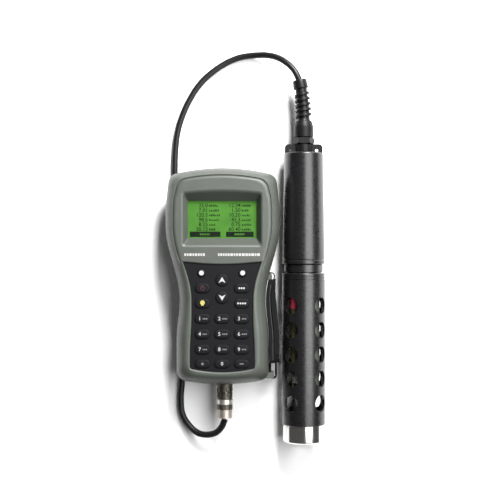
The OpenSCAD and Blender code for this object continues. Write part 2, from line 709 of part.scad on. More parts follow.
// Sensors stand round the axis, each in its own socket in the block
sensor_r = 6.3;
sensor_orbit = 10.4;
socket_depth = 12;
block_low = shield_high - 14;
thread_r = 18.6;
SENSOR_A = [-50, 70, 190];
module at_sensor(a, y) at_probe(y) translate([sensor_orbit * sin(a), -sensor_orbit * cos(a), 0]) children();
module at_pin(y) at_probe(y) translate([13.4 * sin(130), -13.4 * cos(130), 0]) children();
pin_r = 1.6;
seal_r = 1.1;
groove_r = 16.9 - 2 * seal_r - run_gap;
module sensor_block() {
    color([0.07, 0.07, 0.08]) difference() {
        at_probe(0) rotate_extrude() polygon([
            [0, block_low], [17, block_low], [17, shield_high - 9], [thread_r, shield_high - 8.4],
            [thread_r, shield_high - 0.6], [18.2, shield_high], [18.2, shield_high + 0.6], [19.8, shield_high + 0.8],
            [19.8, tube_low - 0.5], [18.6, tube_low], [16.9, tube_low],
            [16.9, tube_low + 4], [groove_r, tube_low + 4], [groove_r, tube_low + 6.4],
            [16.9, tube_low + 6.4], [16.9, tube_low + 9], [groove_r, tube_low + 9], [groove_r, tube_low + 11.4],
            [16.9, tube_low + 11.4], [16.9, tube_low + 20], [0, tube_low + 20]]);
        for (a = SENSOR_A)
            at_sensor(a, block_low - 1) cylinder(r = 5 + run_gap, h = socket_depth + 1);
        at_pin(block_low - 1) cylinder(r = pin_r + run_gap, h = 13);
    }
}
module neck_seals() {
    color("Black") for (y = [5.2, 10.2])
        at_probe(tube_low + y) rotate_extrude() translate([16.9 - seal_r, 0]) circle(r = seal_r);
}
module sensor_stem(a) at_sensor(a, block_low - 0.2) cylinder(r = 5, h = socket_depth);
module ph_sensor() {
    color("IndianRed") difference() {
        union() {
            sensor_stem(SENSOR_A[0]);
            at_sensor(SENSOR_A[0], block_low - 22) cylinder(r = sensor_r, h = 22);
            at_sensor(SENSOR_A[0], block_low - sensor_l + 6) cylinder(r = 5.8, h = sensor_l - 27);
            at_sensor(SENSOR_A[0], block_low - sensor_l + 7) sphere(r = 4.6);
        }
        for (a = [0 : 90 : 270])
            at_sensor(SENSOR_A[0], block_low - sensor_l) rotate([0, 0, a]) translate([4, -1.2, 0]) cube([4, 2.4, 9]);
    }
}
module oxygen_sensor() {
    color("Gray") {
        sensor_stem(SENSOR_A[1]);
        at_sensor(SENSOR_A[1], block_low - sensor_l + 12) cylinder(r = sensor_r, h = sensor_l - 12);
        at_sensor(SENSOR_A[1], block_low - sensor_l) cylinder(r1 = 5.2, r2 = 5.8, h = 12.1);
    }
}
module conductivity_sensor() {
    color("SlateGray") difference() {
        union() {
            sensor_stem(SENSOR_A[2]);
            at_sensor(SENSOR_A[2], block_low - sensor_l) cylinder(r = sensor_r, h = sensor_l);
        }
        at_sensor(SENSOR_A[2], block_low - sensor_l - 1) cylinder(r = 2.4, h = 31);
        translate([probe_x - 20, block_low - sensor_l + 26, probe_z - sensor_orbit - 1.2]) cube([40, 4, 2.4]);
    }
}
module temperature_pin() {
    color("Silver") {
        at_pin(block_low - 48) cylinder(r = pin_r, h = 59);
        at_pin(block_low - 48) sphere(r = pin_r);
    }
}

shield_bore = 19.3;
flow_rows = 5;
flow_low = 22.7;
flow_roll = 5;
module shield() {
    color([0.08, 0.08, 0.09]) difference() {
        at_probe(shield_low) rotate_extrude() polygon(concat(
            [[shield_bore, 0], [shield_d / 2, 0], [shield_d / 2, shield_l - 3.6], [shield_d / 2 - 0.5, shield_l - 3.2],
             [shield_d / 2 - 0.5, shield_l - 2.6], [shield_d / 2, shield_l - 2.2]],
            arc(shield_d / 2 - 1.2, shield_l - 1.2, 1.2, 0, 90),
            [[shield_bore, shield_l]]));
        for (row = [0 : flow_rows - 1])
            for (a = [0 : 90 : 270])
                translate([probe_x, shield_low + flow_low + row * flow_pitch, probe_z])
                    rotate([0, 45 + flow_roll + a, 0]) cylinder(d = flow_d, h = shield_d);
    }
}
weight_r = 21.2;
weight_bore = 14;
module end_weight() {
    color("Silver") at_probe(probe_end) rotate_extrude() polygon([
        [weight_bore, 1], [weight_bore + 1, 0], [weight_r - 1.4, 0], [weight_r, 1.2], [weight_r, weight_l],
        [shield_bore - 0.1, weight_l], [shield_bore - 0.1, weight_l + 6], [weight_bore, weight_l + 6]]);
}

front_shell();
rear_shell();
case_seal();
display_window();
window_seal();
lcd_module();
keypad_mat();
key_switches();
main_board();
battery_cells();
battery_contacts();
battery_cover();
cover_screws();
case_screws();
feet();
socket_shell();
socket_pins();
strap_pins();
hand_strap();
strap_cord();
plug_body();
plug_collar();
plug_insert();
cable();
gland_body();
gland_nut();
gland_seal();
strain_relief();
probe_cap();
probe_tube();
probe_board();
sensor_block();
neck_seals();
ph_sensor();
oxygen_sensor();
conductivity_sensor();
temperature_pin();
shield();
end_weight();
for (k = KEYS)
    color([0.2, 0.2, 0.21]) key(k);
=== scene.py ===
"""Looks of a portable water quality set: a handheld meter, its lead and a submersible sensor probe.

Lengths are in millimetres unless a name says otherwise, and a mesh is turned into metres when it
becomes an object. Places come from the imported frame, so every piece goes where its node lies.
"""

from __future__ import annotations

import json
import logging
import math
import random
from dataclasses import dataclass, field
from enum import Enum
from typing import Callable, Sequence

import bmesh
import bpy
from mathutils import Matrix, Vector

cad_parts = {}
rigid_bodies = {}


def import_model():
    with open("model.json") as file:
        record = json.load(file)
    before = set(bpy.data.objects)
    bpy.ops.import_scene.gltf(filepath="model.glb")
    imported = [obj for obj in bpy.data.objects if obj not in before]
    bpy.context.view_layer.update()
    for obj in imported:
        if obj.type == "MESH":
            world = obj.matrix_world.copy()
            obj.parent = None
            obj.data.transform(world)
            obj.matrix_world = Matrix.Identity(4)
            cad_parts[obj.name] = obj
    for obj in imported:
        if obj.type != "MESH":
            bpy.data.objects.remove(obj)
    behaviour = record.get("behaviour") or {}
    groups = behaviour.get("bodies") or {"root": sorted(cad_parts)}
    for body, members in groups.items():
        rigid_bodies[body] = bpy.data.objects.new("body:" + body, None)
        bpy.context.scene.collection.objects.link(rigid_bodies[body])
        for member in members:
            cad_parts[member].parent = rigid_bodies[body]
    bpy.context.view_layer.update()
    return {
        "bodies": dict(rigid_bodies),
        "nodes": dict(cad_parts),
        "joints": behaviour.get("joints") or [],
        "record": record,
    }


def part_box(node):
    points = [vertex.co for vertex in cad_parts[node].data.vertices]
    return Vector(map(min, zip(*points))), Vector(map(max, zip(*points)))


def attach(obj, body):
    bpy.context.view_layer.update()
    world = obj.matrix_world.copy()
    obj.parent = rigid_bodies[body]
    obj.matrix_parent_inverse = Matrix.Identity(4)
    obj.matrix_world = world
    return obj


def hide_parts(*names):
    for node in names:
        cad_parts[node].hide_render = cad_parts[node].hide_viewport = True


LOG = logging.getLogger("water_quality_set")
MM = 0.001
FULL_TURN = 2 * math.pi
NOISE_RANGE = (0.3, 0.7)
SET, SHIELD, COLLAR = "set", "shield", "plug_collar"
Colour = tuple[float, float, float]
Pair = tuple[float, float]
Piece = bpy.types.Object
Material = bpy.types.Material
Socket = bpy.types.NodeSocket
UP = Vector((0, 0, 1))
BLACK_PLASTIC: Colour = (0.004, 0.004, 0.0045)
BLACK_RUBBER: Colour = (0.004, 0.004, 0.005)


# ---------------------------------------------------------------- geometry helpers
@dataclass(frozen=True)
class Span:
    """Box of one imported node, in millimetres."""

    low: Vector
    high: Vector

    @classmethod
    def of(cls, node: str) -> "Span":
        """Box of the node with that name."""
        low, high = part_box(node)
        return cls(low / MM, high / MM)

    @property
    def centre(self) -> Vector:
        """Middle of the box."""
        return (self.low + self.high) / 2

    @property
    def size(self) -> Vector:
        """Length of the box's sides."""
        return self.high - self.low


def ease(t: float) -> float:
    """Smooth step from 0 to 1."""
    return (1 - math.cos(math.pi * min(max(t, 0.0), 1.0))) / 2


def arc(x: float, y: float, radius: float, start: float, end: float, steps: int = 6) -> list[Pair]:
    """Points along an arc.

    Args:
        x: Centre, across.
        y: Centre, along.
        radius: Radius of the arc.
        start: First angle in degrees.
        end: Last angle in degrees.
        steps: Number of straight steps.

    Returns:
        The points, both ends included.
    """
    turns = [math.radians(start + (end - start) * step / steps) for step in range(steps + 1)]
    return [(x + radius * math.cos(turn), y + radius * math.sin(turn)) for turn in turns]


def smooth_path(points: Sequence[Pair], steps: int = 4) -> list[Pair]:
    """A curve through the points.

    Args:
        points: Points that the curve passes through.
        steps: Number of steps between two points.

    Returns:
        The points of the curve.
    """
    padded = [points[0], *points, points[-1]]
    path: list[Pair] = []
    for before, start, end, after in zip(padded, padded[1:], padded[2:], padded[3:]):
        for step in range(steps):
            t = step / steps
            path.append(tuple(
                0.5 * (2 * b + (c - a) * t
                       + (2 * a - 5 * b + 4 * c - d) * t**2
                       + (3 * b - a - 3 * c + d) * t**3)
                for a, b, c, d in zip(before, start, end, after)))
    return path + [points[-1]]


def round_corners(corners: Sequence[tuple[float, float, float]], steps: int = 5) -> list[Pair]:
    """Rounds the corners of an outline.

    Args:
        corners: Each corner as x, y and how far the rounding reaches along its sides.
        steps: Number of steps round a corner.

    Returns:
        The outline's points. A corner without rounding gives one point.
    """
    outline: list[Pair] = []
    for index, (x, y, reach) in enumerate(corners):
        if reach == 0:
            outline.append((x, y))
            continue
        here = Vector((x, y))
        before = Vector(corners[index - 1][:2]) - here
        after = Vector(corners[(index + 1) % len(corners)][:2]) - here
        start = here + before.normalized() * reach
        end = here + after.normalized() * reach
        for step in range(steps + 1):
            t = step / steps
            point = start * (1 - t) ** 2 + here * 2 * t * (1 - t) + end * t**2
            outline.append((point.x, point.y))
    return outline


def rounded_box(low: Pair, high: Pair, reach: float, steps: int = 5) -> list[Pair]:
    """Outline of a box between two corners, with all four corners rounded."""
    (x0, y0), (x1, y1) = low, high
    return round_corners([(x0, y0, reach), (x1, y0, reach), (x1, y1, reach), (x0, y1, reach)], steps)


def circle(middle: Vector, radius: float, side: Vector, up: Vector, sides: int) -> list[Vector]:
    """Points round a circle that lies in the plane of two directions."""
    turns = [FULL_TURN * k / sides for k in range(sides)]
    return [middle + radius * (math.cos(turn) * side + math.sin(turn) * up) for turn in turns]


def level(outline: Sequence[Pair], z: float, place: Vector = Vector()) -> list[Vector]:
    """Lays an outline flat at a height, moved to a place."""
    return [Vector((place.x + x, place.y + y, z)) for x, y in outline]


def oval(width: float, length: float, inset: float = 0.0, steps: int = 12) -> list[Pair]:
    """Outline of a flat oval with round ends.

    Args:
        width: Size along X.
        length: Size along Y.
        inset: How far the outline lies inside that size.
        steps: Steps round each quarter.

    Returns:
        The outline's points.
    """
    radius = min(width, length) / 2
    reach_x, reach_y = width / 2 - radius, length / 2 - radius
    points: list[Pair] = []
    for turn, (sx, sy) in enumerate([(1, 1), (-1, 1), (-1, -1), (1, -1)]):
        points += arc(sx * reach_x, sy * reach_y, max(radius - inset, 0.05), turn * 90, turn * 90 + 90, steps)
    return points


class Shape:
    """A mesh that is being built, in millimetres."""

    def __init__(self) -> None:
        """Starts with nothing."""
        self.mesh = bmesh.new()
        self.finish_index = 0

    def use(self, finish_index: int) -> "Shape":
        """Gives the faces that come next the finish with that number."""
        self.finish_index = finish_index
        return self

    def _face(self, corners: Sequence[bmesh.types.BMVert]) -> None:
        """Adds one face."""
        face = self.mesh.faces.new(corners)
        face.material_index = self.finish_index

    def loft(self, rings: Sequence[Sequence[Vector]], closed: bool = False) -> "Shape":
        """Joins rings that all have the same number of points.

        Args:
            rings: The rings, in order.
            closed: True joins the last ring to the first; otherwise both ends are capped.

        Returns:
            The shape itself.
        """
        rows = [[self.mesh.verts.new(point) for point in ring] for ring in rings]
        pairs = list(zip(rows, rows[1:]))
        if closed:
            pairs.append((rows[-1], rows[0]))
        for first, second in pairs:
            for index in range(len(first)):
                after = (index + 1) % len(first)
                self._face((first[index], first[after], second[after], second[index]))
        if not closed:
            self._face(rows[0])
            self._face(rows[-1][::-1])
        return self

    def turned(self, axis: Vector, profile: Sequence[Pair], closed: bool = False, sides: int = 96) -> "Shape":
        """Turns a profile about an axis along Y.

        Args:
            axis: A point on the axis.
            profile: Points as radius and Y.
            closed: True for a tube, whose last point joins the first.
            sides: Number of sides.

        Returns:
            The shape itself.
        """
        turns = [FULL_TURN * side / sides for side in range(sides)]
        return self.loft([
            [Vector((axis.x + radius * math.cos(turn), y, axis.z + radius * math.sin(turn)))
             for turn in turns]
            for radius, y in profile], closed)

    def prism(self, outline: Sequence[Pair], low: float, high: float, place: Vector = Vector()) -> "Shape":
        """Raises an outline from one height to another."""
        return self.loft([level(outline, low, place), level(outline, high, place)])

    def block(self, low: Vector, high: Vector) -> "Shape":
        """Adds a plain block between two corners."""
        corners = [(low.x, low.y), (high.x, low.y), (high.x, high.y), (low.x, high.y)]
        return self.prism(corners, low.z, high.z)

    def post(self, place: Vector, radius: float, low: float, high: float, sides: int = 32) -> "Shape":
        """Adds an upright cylinder."""
        return self.prism(arc(0, 0, radius, 0, 360 - 360 / sides, sides - 1), low, high, place)

    def tube(self, path: Sequence[Vector], radius: float, closed: bool = False, sides: int = 12) -> "Shape":
        """Sweeps a round section along a path that never runs straight up."""
        count = len(path)
        rings = []
        for index, point in enumerate(path):
            before = path[index - 1] if closed or index else point
            after = path[(index + 1) % count] if closed or index < count - 1 else point
            ahead = (after - before).normalized()
            side = ahead.cross(UP).normalized()
            rings.append(circle(point, radius, side, side.cross(ahead), sides))
        return self.loft(rings, closed)

    def words(
        self, text: str, size: float, place: Vector, thickness: float, align: str = "CENTER"
    ) -> "Shape":
        """Adds plain figures that lie flat, facing up.

        Args:
            text: The figures.
            size: Height setting of the figures.
            place: Where they are centred, or where their end is.
            thickness: How thick they stand.
            align: How they are aligned along X.

        Returns:
            The shape itself.
        """
        curve = bpy.data.curves.new("figures", "FONT")
        curve.body = text
        curve.size = size
        curve.align_x = align
        curve.align_y = "CENTER"
        curve.extrude = thickness / 2
        boldness = 0.012
        curve.offset = size * boldness
        curve.resolution_u = 3
        carrier = bpy.data.objects.new("figures", curve)
        bpy.context.scene.collection.objects.link(carrier)
        bpy.context.view_layer.update()
        mesh = bpy.data.meshes.new_from_object(carrier.evaluated_get(bpy.context.evaluated_depsgraph_get()))
        mesh.transform(Matrix.Translation(place))
        first_face = len(self.mesh.faces)
        self.mesh.from_mesh(mesh)
        self.mesh.faces.ensure_lookup_table()
        for face in self.mesh.faces[first_face:]:
            face.material_index = self.finish_index
        bpy.data.objects.remove(carrier)
        bpy.data.curves.remove(curve)
        bpy.data.meshes.remove(mesh)
        return self

    def to_object(self, name: str) -> Piece:
        """Turns the shape into an object in metres.

        Args:
            name: The object's name.

        Returns:
            The object, linked to the scene.
        """
        weld = 0.002
        bmesh.ops.remove_doubles(self.mesh, verts=self.mesh.verts, dist=weld)
        bmesh.ops.recalc_face_normals(self.mesh, faces=self.mesh.faces)
        bmesh.ops.scale(self.mesh, vec=Vector((MM, MM, MM)), verts=self.mesh.verts)
        data = bpy.data.meshes.new(name)
        self.mesh.to_mesh(data)
        self.mesh.free()
        piece = bpy.data.objects.new(name, data)
        bpy.context.scene.collection.objects.link(piece)
        return piece


def carve(piece: Piece, tool: Shape, operation: str = "DIFFERENCE") -> None:
    """Cuts a shape out of a piece, adds it or keeps what they share.

    Args:
        piece: The piece to change.
        tool: The shape to apply.
        operation: DIFFERENCE, UNION or INTERSECT.
    """
    cutter = tool.to_object("cutter")
    modifier = piece.modifiers.new("carve", "BOOLEAN")
    modifier.operation = operation
    modifier.solver = "EXACT"
    modifier.object = cutter
    modifier.use_self = True
    bpy.context.view_layer.update()
    shaped = bpy.data.meshes.new_from_object(piece.evaluated_get(bpy.context.evaluated_depsgraph_get()))
    piece.modifiers.remove(modifier)
    old = piece.data
    piece.data = shaped
    shaped.name = old.name
    bpy.data.meshes.remove(old)
    bpy.data.objects.remove(cutter)


def settle(
    piece: Piece,
    finishes: Sequence[Material],
    body: str,
    nodes: Sequence[str] = (),
    sharp: float = 38.0,
) -> None:
    """Dresses a piece and puts it on its body.

    Args:
        piece: The finished shape.
        finishes: Materials in the order that its faces use them.
        body: The body it moves with.
        nodes: The nodes it stands for.
        sharp: Edges over this many degrees stay sharp.
    """
    for finish in finishes:
        piece.data.materials.append(finish)
    piece.data.shade_smooth()
    piece.data.set_sharp_from_angle(angle=math.radians(sharp))
    normals = piece.modifiers.new("even_normals", "WEIGHTED_NORMAL")
    normals.keep_sharp = True
    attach(piece, body)
    if nodes:
        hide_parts(*nodes)
    LOG.info("%s on %s: %d faces", piece.name, body, len(piece.data.polygons))


# ---------------------------------------------------------------- finishes
class Recipe:
    """Node tree of one material."""

    def __init__(
        self, name: str, colour: Colour, roughness: float, metallic: float = 0.0, specular: float = 0.5
    ) -> None:
        """Starts a material.

        Args:
            name: The material's name.
            colour: Base colour.
            roughness: Roughness of the surface.
            metallic: 1 for bare metal.
            specular: How strongly the surface reflects; 0.5 is common plastic.
        """
        self.material = bpy.data.materials.new(name)
        self.material.use_nodes = True
        self.tree = self.material.node_tree
        self.shader = self.tree.nodes["Principled BSDF"]
        self.shader.inputs["Base Color"].default_value = (*colour, 1)
        self.shader.inputs["Roughness"].default_value = roughness
        self.shader.inputs["Metallic"].default_value = metallic
        self.shader.inputs["Specular IOR Level"].default_value = specular
        self.place = self.add("ShaderNodeTexCoord").outputs["Object"]

    def add(self, kind: str, **settings: object) -> bpy.types.Node:
        """Adds a node and fills in its settings and inputs."""
        node = self.tree.nodes.new(kind)
        for key, value in settings.items():
            if hasattr(node, key):
                setattr(node, key, value)
            else:
                node.inputs[key.replace("_", " ")].default_value = value
        return node

    def join(self, source: Socket, target: Socket) -> None:
        """Links two sockets."""
        self.tree.links.new(source, target)

    def stretched(self, scale: tuple[float, float, float]) -> Socket:
        """Coordinates scaled apart along X, Y and Z."""
        mapping = self.add("ShaderNodeMapping", Scale=scale)
        self.join(self.place, mapping.inputs["Vector"])
        return mapping.outputs["Vector"]

    def noise(self, size: float, detail: float = 3.0, at: Socket | None = None) -> Socket:
        """Noise whose features are about that many millimetres across.

        Args:
            size: Size of the features.
            detail: Levels of finer noise.
            at: Coordinates, if they aren't the object's own.

        Returns:
            The noise's value.
        """
        node = self.add("ShaderNodeTexNoise", Scale=1 / (size * MM), Detail=detail, Roughness=0.55)
        self.join(at or self.place, node.inputs["Vector"])
        return node.outputs["Fac"]

    def bands(self, size: float, axis: str) -> Socket:
        """Even waves along an axis, that many millimetres apart."""
        one_wave = 0.314
        node = self.add("ShaderNodeTexWave", bands_direction=axis, Scale=one_wave / (size * MM))
        self.join(self.place, node.inputs["Vector"])
        return node.outputs["Fac"]

    def blend_colour(self, fac: Socket, first: Colour, second: Colour) -> Socket:
        """Two colours mixed by a value that lies mostly within the usual range of noise."""
        ramp = self.add("ShaderNodeValToRGB")
        for stop, position, colour in zip(ramp.color_ramp.elements, NOISE_RANGE, (first, second)):
            stop.position = position
            stop.color = (*colour, 1)
        self.join(fac, ramp.inputs["Fac"])
        return ramp.outputs["Color"]

    def tint(self, fac: Socket, first: Colour, second: Colour) -> Socket:
        """Mixes two colours by a value and makes them the base colour."""
        tone = self.blend_colour(fac, first, second)
        self.join(tone, self.shader.inputs["Base Color"])
        return tone

    def crossing(self, size: float, first: str, second: str) -> Socket:
        """Waves along two axes multiplied together."""
        product = self.add("ShaderNodeMath", operation="MULTIPLY")
        self.join(self.bands(size, first), product.inputs[0])
        self.join(self.bands(size, second), product.inputs[1])
        return product.outputs["Value"]

    def vary_roughness(self, fac: Socket, low: float, high: float) -> None:
        """Lets a value set the roughness between two limits."""
        start, end = NOISE_RANGE
        spread = self.add("ShaderNodeMapRange", From_Min=start, From_Max=end, To_Min=low, To_Max=high)
        self.join(fac, spread.inputs["Value"])
        self.join(spread.outputs["Result"], self.shader.inputs["Roughness"])

    def bump(self, height: Socket, depth: float) -> None:
        """Raises the surface by a value, that many millimetres deep."""
        node = self.add("ShaderNodeBump", Strength=1.0, Distance=depth * MM)
        self.join(height, node.inputs["Height"])
        self.join(node.outputs["Normal"], self.shader.inputs["Normal"])


def scaled(colour: Colour, factor: float) -> Colour:
    """A colour made lighter or darker."""
    return tuple(min(part * factor, 1.0) for part in colour)


@dataclass(frozen=True)
class Moulded:
    """Moulded plastic or rubber with a fine grain."""

    name: str
    colour: Colour
    roughness: float
    grain: float = 0.5
    depth: float = 0.02
    mottle: float = 0.1
    specular: float = 0.5

    def build(self) -> Material:
        """Makes the material."""
        recipe = Recipe(self.name, self.colour, self.roughness, specular=self.specular)
        patches = recipe.noise(14.0, 4.0)
        recipe.tint(patches, scaled(self.colour, 1 - self.mottle), scaled(self.colour, 1 + self.mottle))
        recipe.vary_roughness(recipe.noise(3.0), self.roughness - 0.05, self.roughness + 0.05)
        recipe.bump(recipe.noise(self.grain, 2.0), self.depth)
        return recipe.material


@dataclass(frozen=True)
class Turned:
    """Metal with fine tool lines round an axis along Y."""

    name: str
    colour: Colour
    roughness: float
    line: float = 0.3
    depth: float = 0.006

    def build(self) -> Material:
        """Makes the material."""
        recipe = Recipe(self.name, self.colour, self.roughness, 1.0)
        lines = recipe.noise(self.line, 3.0, recipe.stretched((0.02, 1, 0.02)))
        stains = recipe.noise(9.0, 4.0)
        recipe.tint(stains, scaled(self.colour, 0.92), scaled(self.colour, 1.05))
        recipe.vary_roughness(lines, self.roughness * 0.75, self.roughness * 1.3)
        recipe.bump(lines, self.depth)
        return recipe.material


@dataclass(frozen=True)
class Woven:
    """Webbing: two sets of threads that cross."""

    name: str
    colour: Colour
    thread: float = 1.1

    def build(self) -> Material:
        """Makes the material."""
        recipe = Recipe(self.name, self.colour, 0.85, specular=0.15)
        threads = recipe.crossing(self.thread, "Y", "Z")
        recipe.tint(threads, scaled(self.colour, 0.6), scaled(self.colour, 1.7))
        recipe.bump(threads, 0.18)
        return recipe.material


@dataclass(frozen=True)
class Clear:
    """A clear window that lets what is behind show."""

    name: str
    colour: Colour
    cover: float = 0.12

    def build(self) -> Material:
        """Makes the material."""
        recipe = Recipe(self.name, self.colour, 0.06)
        recipe.shader.inputs["Alpha"].default_value = self.cover
        recipe.vary_roughness(recipe.noise(6.0), 0.04, 0.09)
        recipe.bump(recipe.noise(25.0, 1.0), 0.01)
        return recipe.material


@dataclass(frozen=True)
class Backlit:
    """A display panel lit from behind, with a faint grid of dots."""

    name: str
    colour: Colour
    light: float
    dot: float = 0.55

    def build(self) -> Material:
        """Makes the material."""
        recipe = Recipe(self.name, self.colour, 0.6, specular=0.1)
        spread = recipe.tint(recipe.noise(22.0, 1.0), scaled(self.colour, 0.86), scaled(self.colour, 1.12))
        recipe.join(spread, recipe.shader.inputs["Emission Color"])
        recipe.shader.inputs["Emission Strength"].default_value = self.light
        recipe.bump(recipe.crossing(self.dot, "X", "Y"), 0.02)
        return recipe.material


@dataclass(frozen=True)
class Printed:
    """Ink printed on a key or a housing."""

    name: str
    colour: Colour
    specular: float = 0.4

    def build(self) -> Material:
        """Makes the material."""
        recipe = Recipe(self.name, self.colour, 0.5, specular=self.specular)
        recipe.tint(recipe.noise(0.8), scaled(self.colour, 0.9), self.colour)
        recipe.bump(recipe.noise(0.25), 0.01)
        return recipe.material


@dataclass(frozen=True)
class Laminate:
    """Circuit board with tracks under its lacquer."""

    name: str
    colour: Colour

    def build(self) -> Material:
        """Makes the material."""
        recipe = Recipe(self.name, self.colour, 0.3)
        track = 2.4 * MM
        cells = recipe.add("ShaderNodeTexVoronoi", distance="MANHATTAN", feature="F1", Scale=1 / track)
        recipe.join(recipe.place, cells.inputs["Vector"])
        recipe.tint(cells.outputs["Distance"], scaled(self.colour, 1.8), self.colour)
        recipe.bump(cells.outputs["Distance"], 0.05)
        return recipe.material


@dataclass
class Palette:
    """All materials of the set, made once."""

    made: dict[str, Material] = field(default_factory=dict)
    finishes: tuple = (
        Moulded("housing", (0.048, 0.054, 0.046), 0.46, grain=0.45, depth=0.022, mottle=0.05, specular=0.45),
        Moulded("keypad_rubber", BLACK_RUBBER, 0.62, grain=0.35, depth=0.012, specular=0.12),
        Moulded("key_rubber", BLACK_RUBBER, 0.62, grain=0.35, depth=0.010, specular=0.12),
        Moulded("seal_rubber", (0.012, 0.012, 0.012), 0.70),
        Moulded("probe_plastic", BLACK_PLASTIC, 0.30, grain=0.6, depth=0.003, mottle=0.15, specular=0.55),
        Moulded("gland_plastic", BLACK_PLASTIC, 0.42, grain=0.6, depth=0.003, specular=0.16),
        Moulded("relief_rubber", BLACK_PLASTIC, 0.36, grain=0.5, depth=0.010, specular=0.2),
        Moulded("lead_jacket", (0.005, 0.005, 0.0055), 0.36, grain=0.7, depth=0.010, specular=0.25),
        Moulded("insulator", (0.015, 0.015, 0.015), 0.45),
        Moulded("cell_jacket", (0.03, 0.06, 0.20), 0.35, depth=0.005),
        Moulded("acidity_sensor", (0.42, 0.035, 0.07), 0.25, grain=1.2, depth=0.01),
        Moulded("amber_body", (0.045, 0.042, 0.016), 0.28, grain=1.2, depth=0.01),
        Moulded("oxygen_sensor", (0.03, 0.033, 0.026), 0.4),
        Moulded("conductivity_sensor", (0.03, 0.032, 0.035), 0.4),
        Moulded("pale_membrane", (0.55, 0.56, 0.52), 0.35),
        Turned("nickel", (0.46, 0.42, 0.37), 0.50, line=0.5, depth=0.002),
        # Lighter and darker copies of the nickel: painted highlight and painted shade for the connector's
        # bands.
        Turned("nickel_bright", (0.66, 0.63, 0.58), 0.44, line=0.5, depth=0.002),
        Turned("nickel_dark", (0.12, 0.11, 0.095), 0.52, line=0.5, depth=0.002),
        Turned("weight_steel", (0.66, 0.65, 0.63), 0.14, line=0.25, depth=0.002),
        Turned("screw_steel", (0.45, 0.45, 0.45), 0.35),
        Turned("spring_steel", (0.60, 0.60, 0.60), 0.30),
        Turned("contact_gold", (0.80, 0.58, 0.22), 0.25),
        Woven("webbing", BLACK_PLASTIC),
        Woven("pad_cloth", (0.006, 0.006, 0.0065), thread=0.8),
        Clear("window", (0.02, 0.025, 0.02), 0.05),
        Backlit("display", (0.032, 0.105, 0.012), 0.9),
        Printed("display_ink", (0.001, 0.006, 0.001), 0.1),
        Printed("white_ink", (0.34, 0.34, 0.335)),
        Printed("grey_ink", (0.11, 0.11, 0.11)),
        Printed("red_ink", (0.045, 0.006, 0.006)),
        Printed("amber_ink", (0.34, 0.30, 0.08)),
        Laminate("board", (0.01, 0.10, 0.035)),
    )

    def make(self) -> "Palette":
        """Builds every material."""
        for finish in self.finishes:
            self.made[finish.name] = finish.build()
        return self

    def pick(self, *names: str) -> list[Material]:
        """The materials with those names."""
        return [self.made[name] for name in names]

    def dress(self, node: Piece, finish: str) -> None:
        """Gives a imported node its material."""
        node.data.materials.clear()
        node.data.materials.append(self.made[finish])


# ---------------------------------------------------------------- studio
@dataclass
class Studio:
    """Camera, lights and the surface that the set lies on."""

    camera_at: tuple[float, float, float] = (4.2, 10.7, 1100.0)
    lens: float = 76.07
    world_level: float = 0.10
    floor_half: float = 3000.0

    def place_camera(self) -> None:
        """Puts the camera straight above the set."""
        data = bpy.data.cameras.new("camera")
        data.lens = self.lens
        data.clip_end = 20.0
        camera = bpy.data.objects.new("camera", data)
        camera.location = Vector(self.camera_at) * MM
        bpy.context.scene.collection.objects.link(camera)
        bpy.context.scene.camera = camera
        bpy.context.scene.view_settings.view_transform = "Standard"

    def softbox(self, name: str, place: Vector, size: Pair, power: float, aim: Vector = Vector()) -> None:
        """Hangs a rectangular soft light.

        Args:
            name: The light's name.
            place: Where it hangs.
            size: Its sides across X and along Y.
            power: Its power in watts.
            aim: The point that it faces.
        """
        data = bpy.data.lights.new(name, "AREA")
        data.shape = "RECTANGLE"
        data.size, data.size_y = (side * MM for side in size)
        data.energy = power
        light = bpy.data.objects.new(name, data)
        light.location = place * MM
        back = (place - aim).normalized()
        across = Vector((0, 1, 0)).cross(back).normalized()
        light.rotation_euler = Matrix((across, back.cross(across), back)).transposed().to_euler()
        bpy.context.scene.collection.objects.link(light)

    def light(self) -> None:
        """Hangs the soft lights and sets the plain surroundings."""
        self.softbox("key_light", Vector((360, 950, 850)), (450, 350), 48.0)
        self.softbox("strip_light", Vector((510, 300, 900)), (700, 1300), 20.0, Vector((60, 280, 0)))
        world = bpy.data.worlds.new("surroundings")
        world.use_nodes = True
        backdrop = world.node_tree.nodes["Background"]
        backdrop.inputs["Color"].default_value = (1, 1, 1, 1)
        backdrop.inputs["Strength"].default_value = self.world_level
        bpy.context.scene.world = world

    def lay_floor(self) -> None:
        """Lays the pale floor."""
        shape = Shape()
        half = self.floor_half
        shape.block(Vector((-half, -half, -2)), Vector((half, half, 0)))
        floor = shape.to_object("floor")
        finish = Moulded("paper", (0.95, 0.95, 0.95), 0.8, grain=1.0, depth=0.01, mottle=0.01, specular=0.2)
        floor.data.materials.append(finish.build())


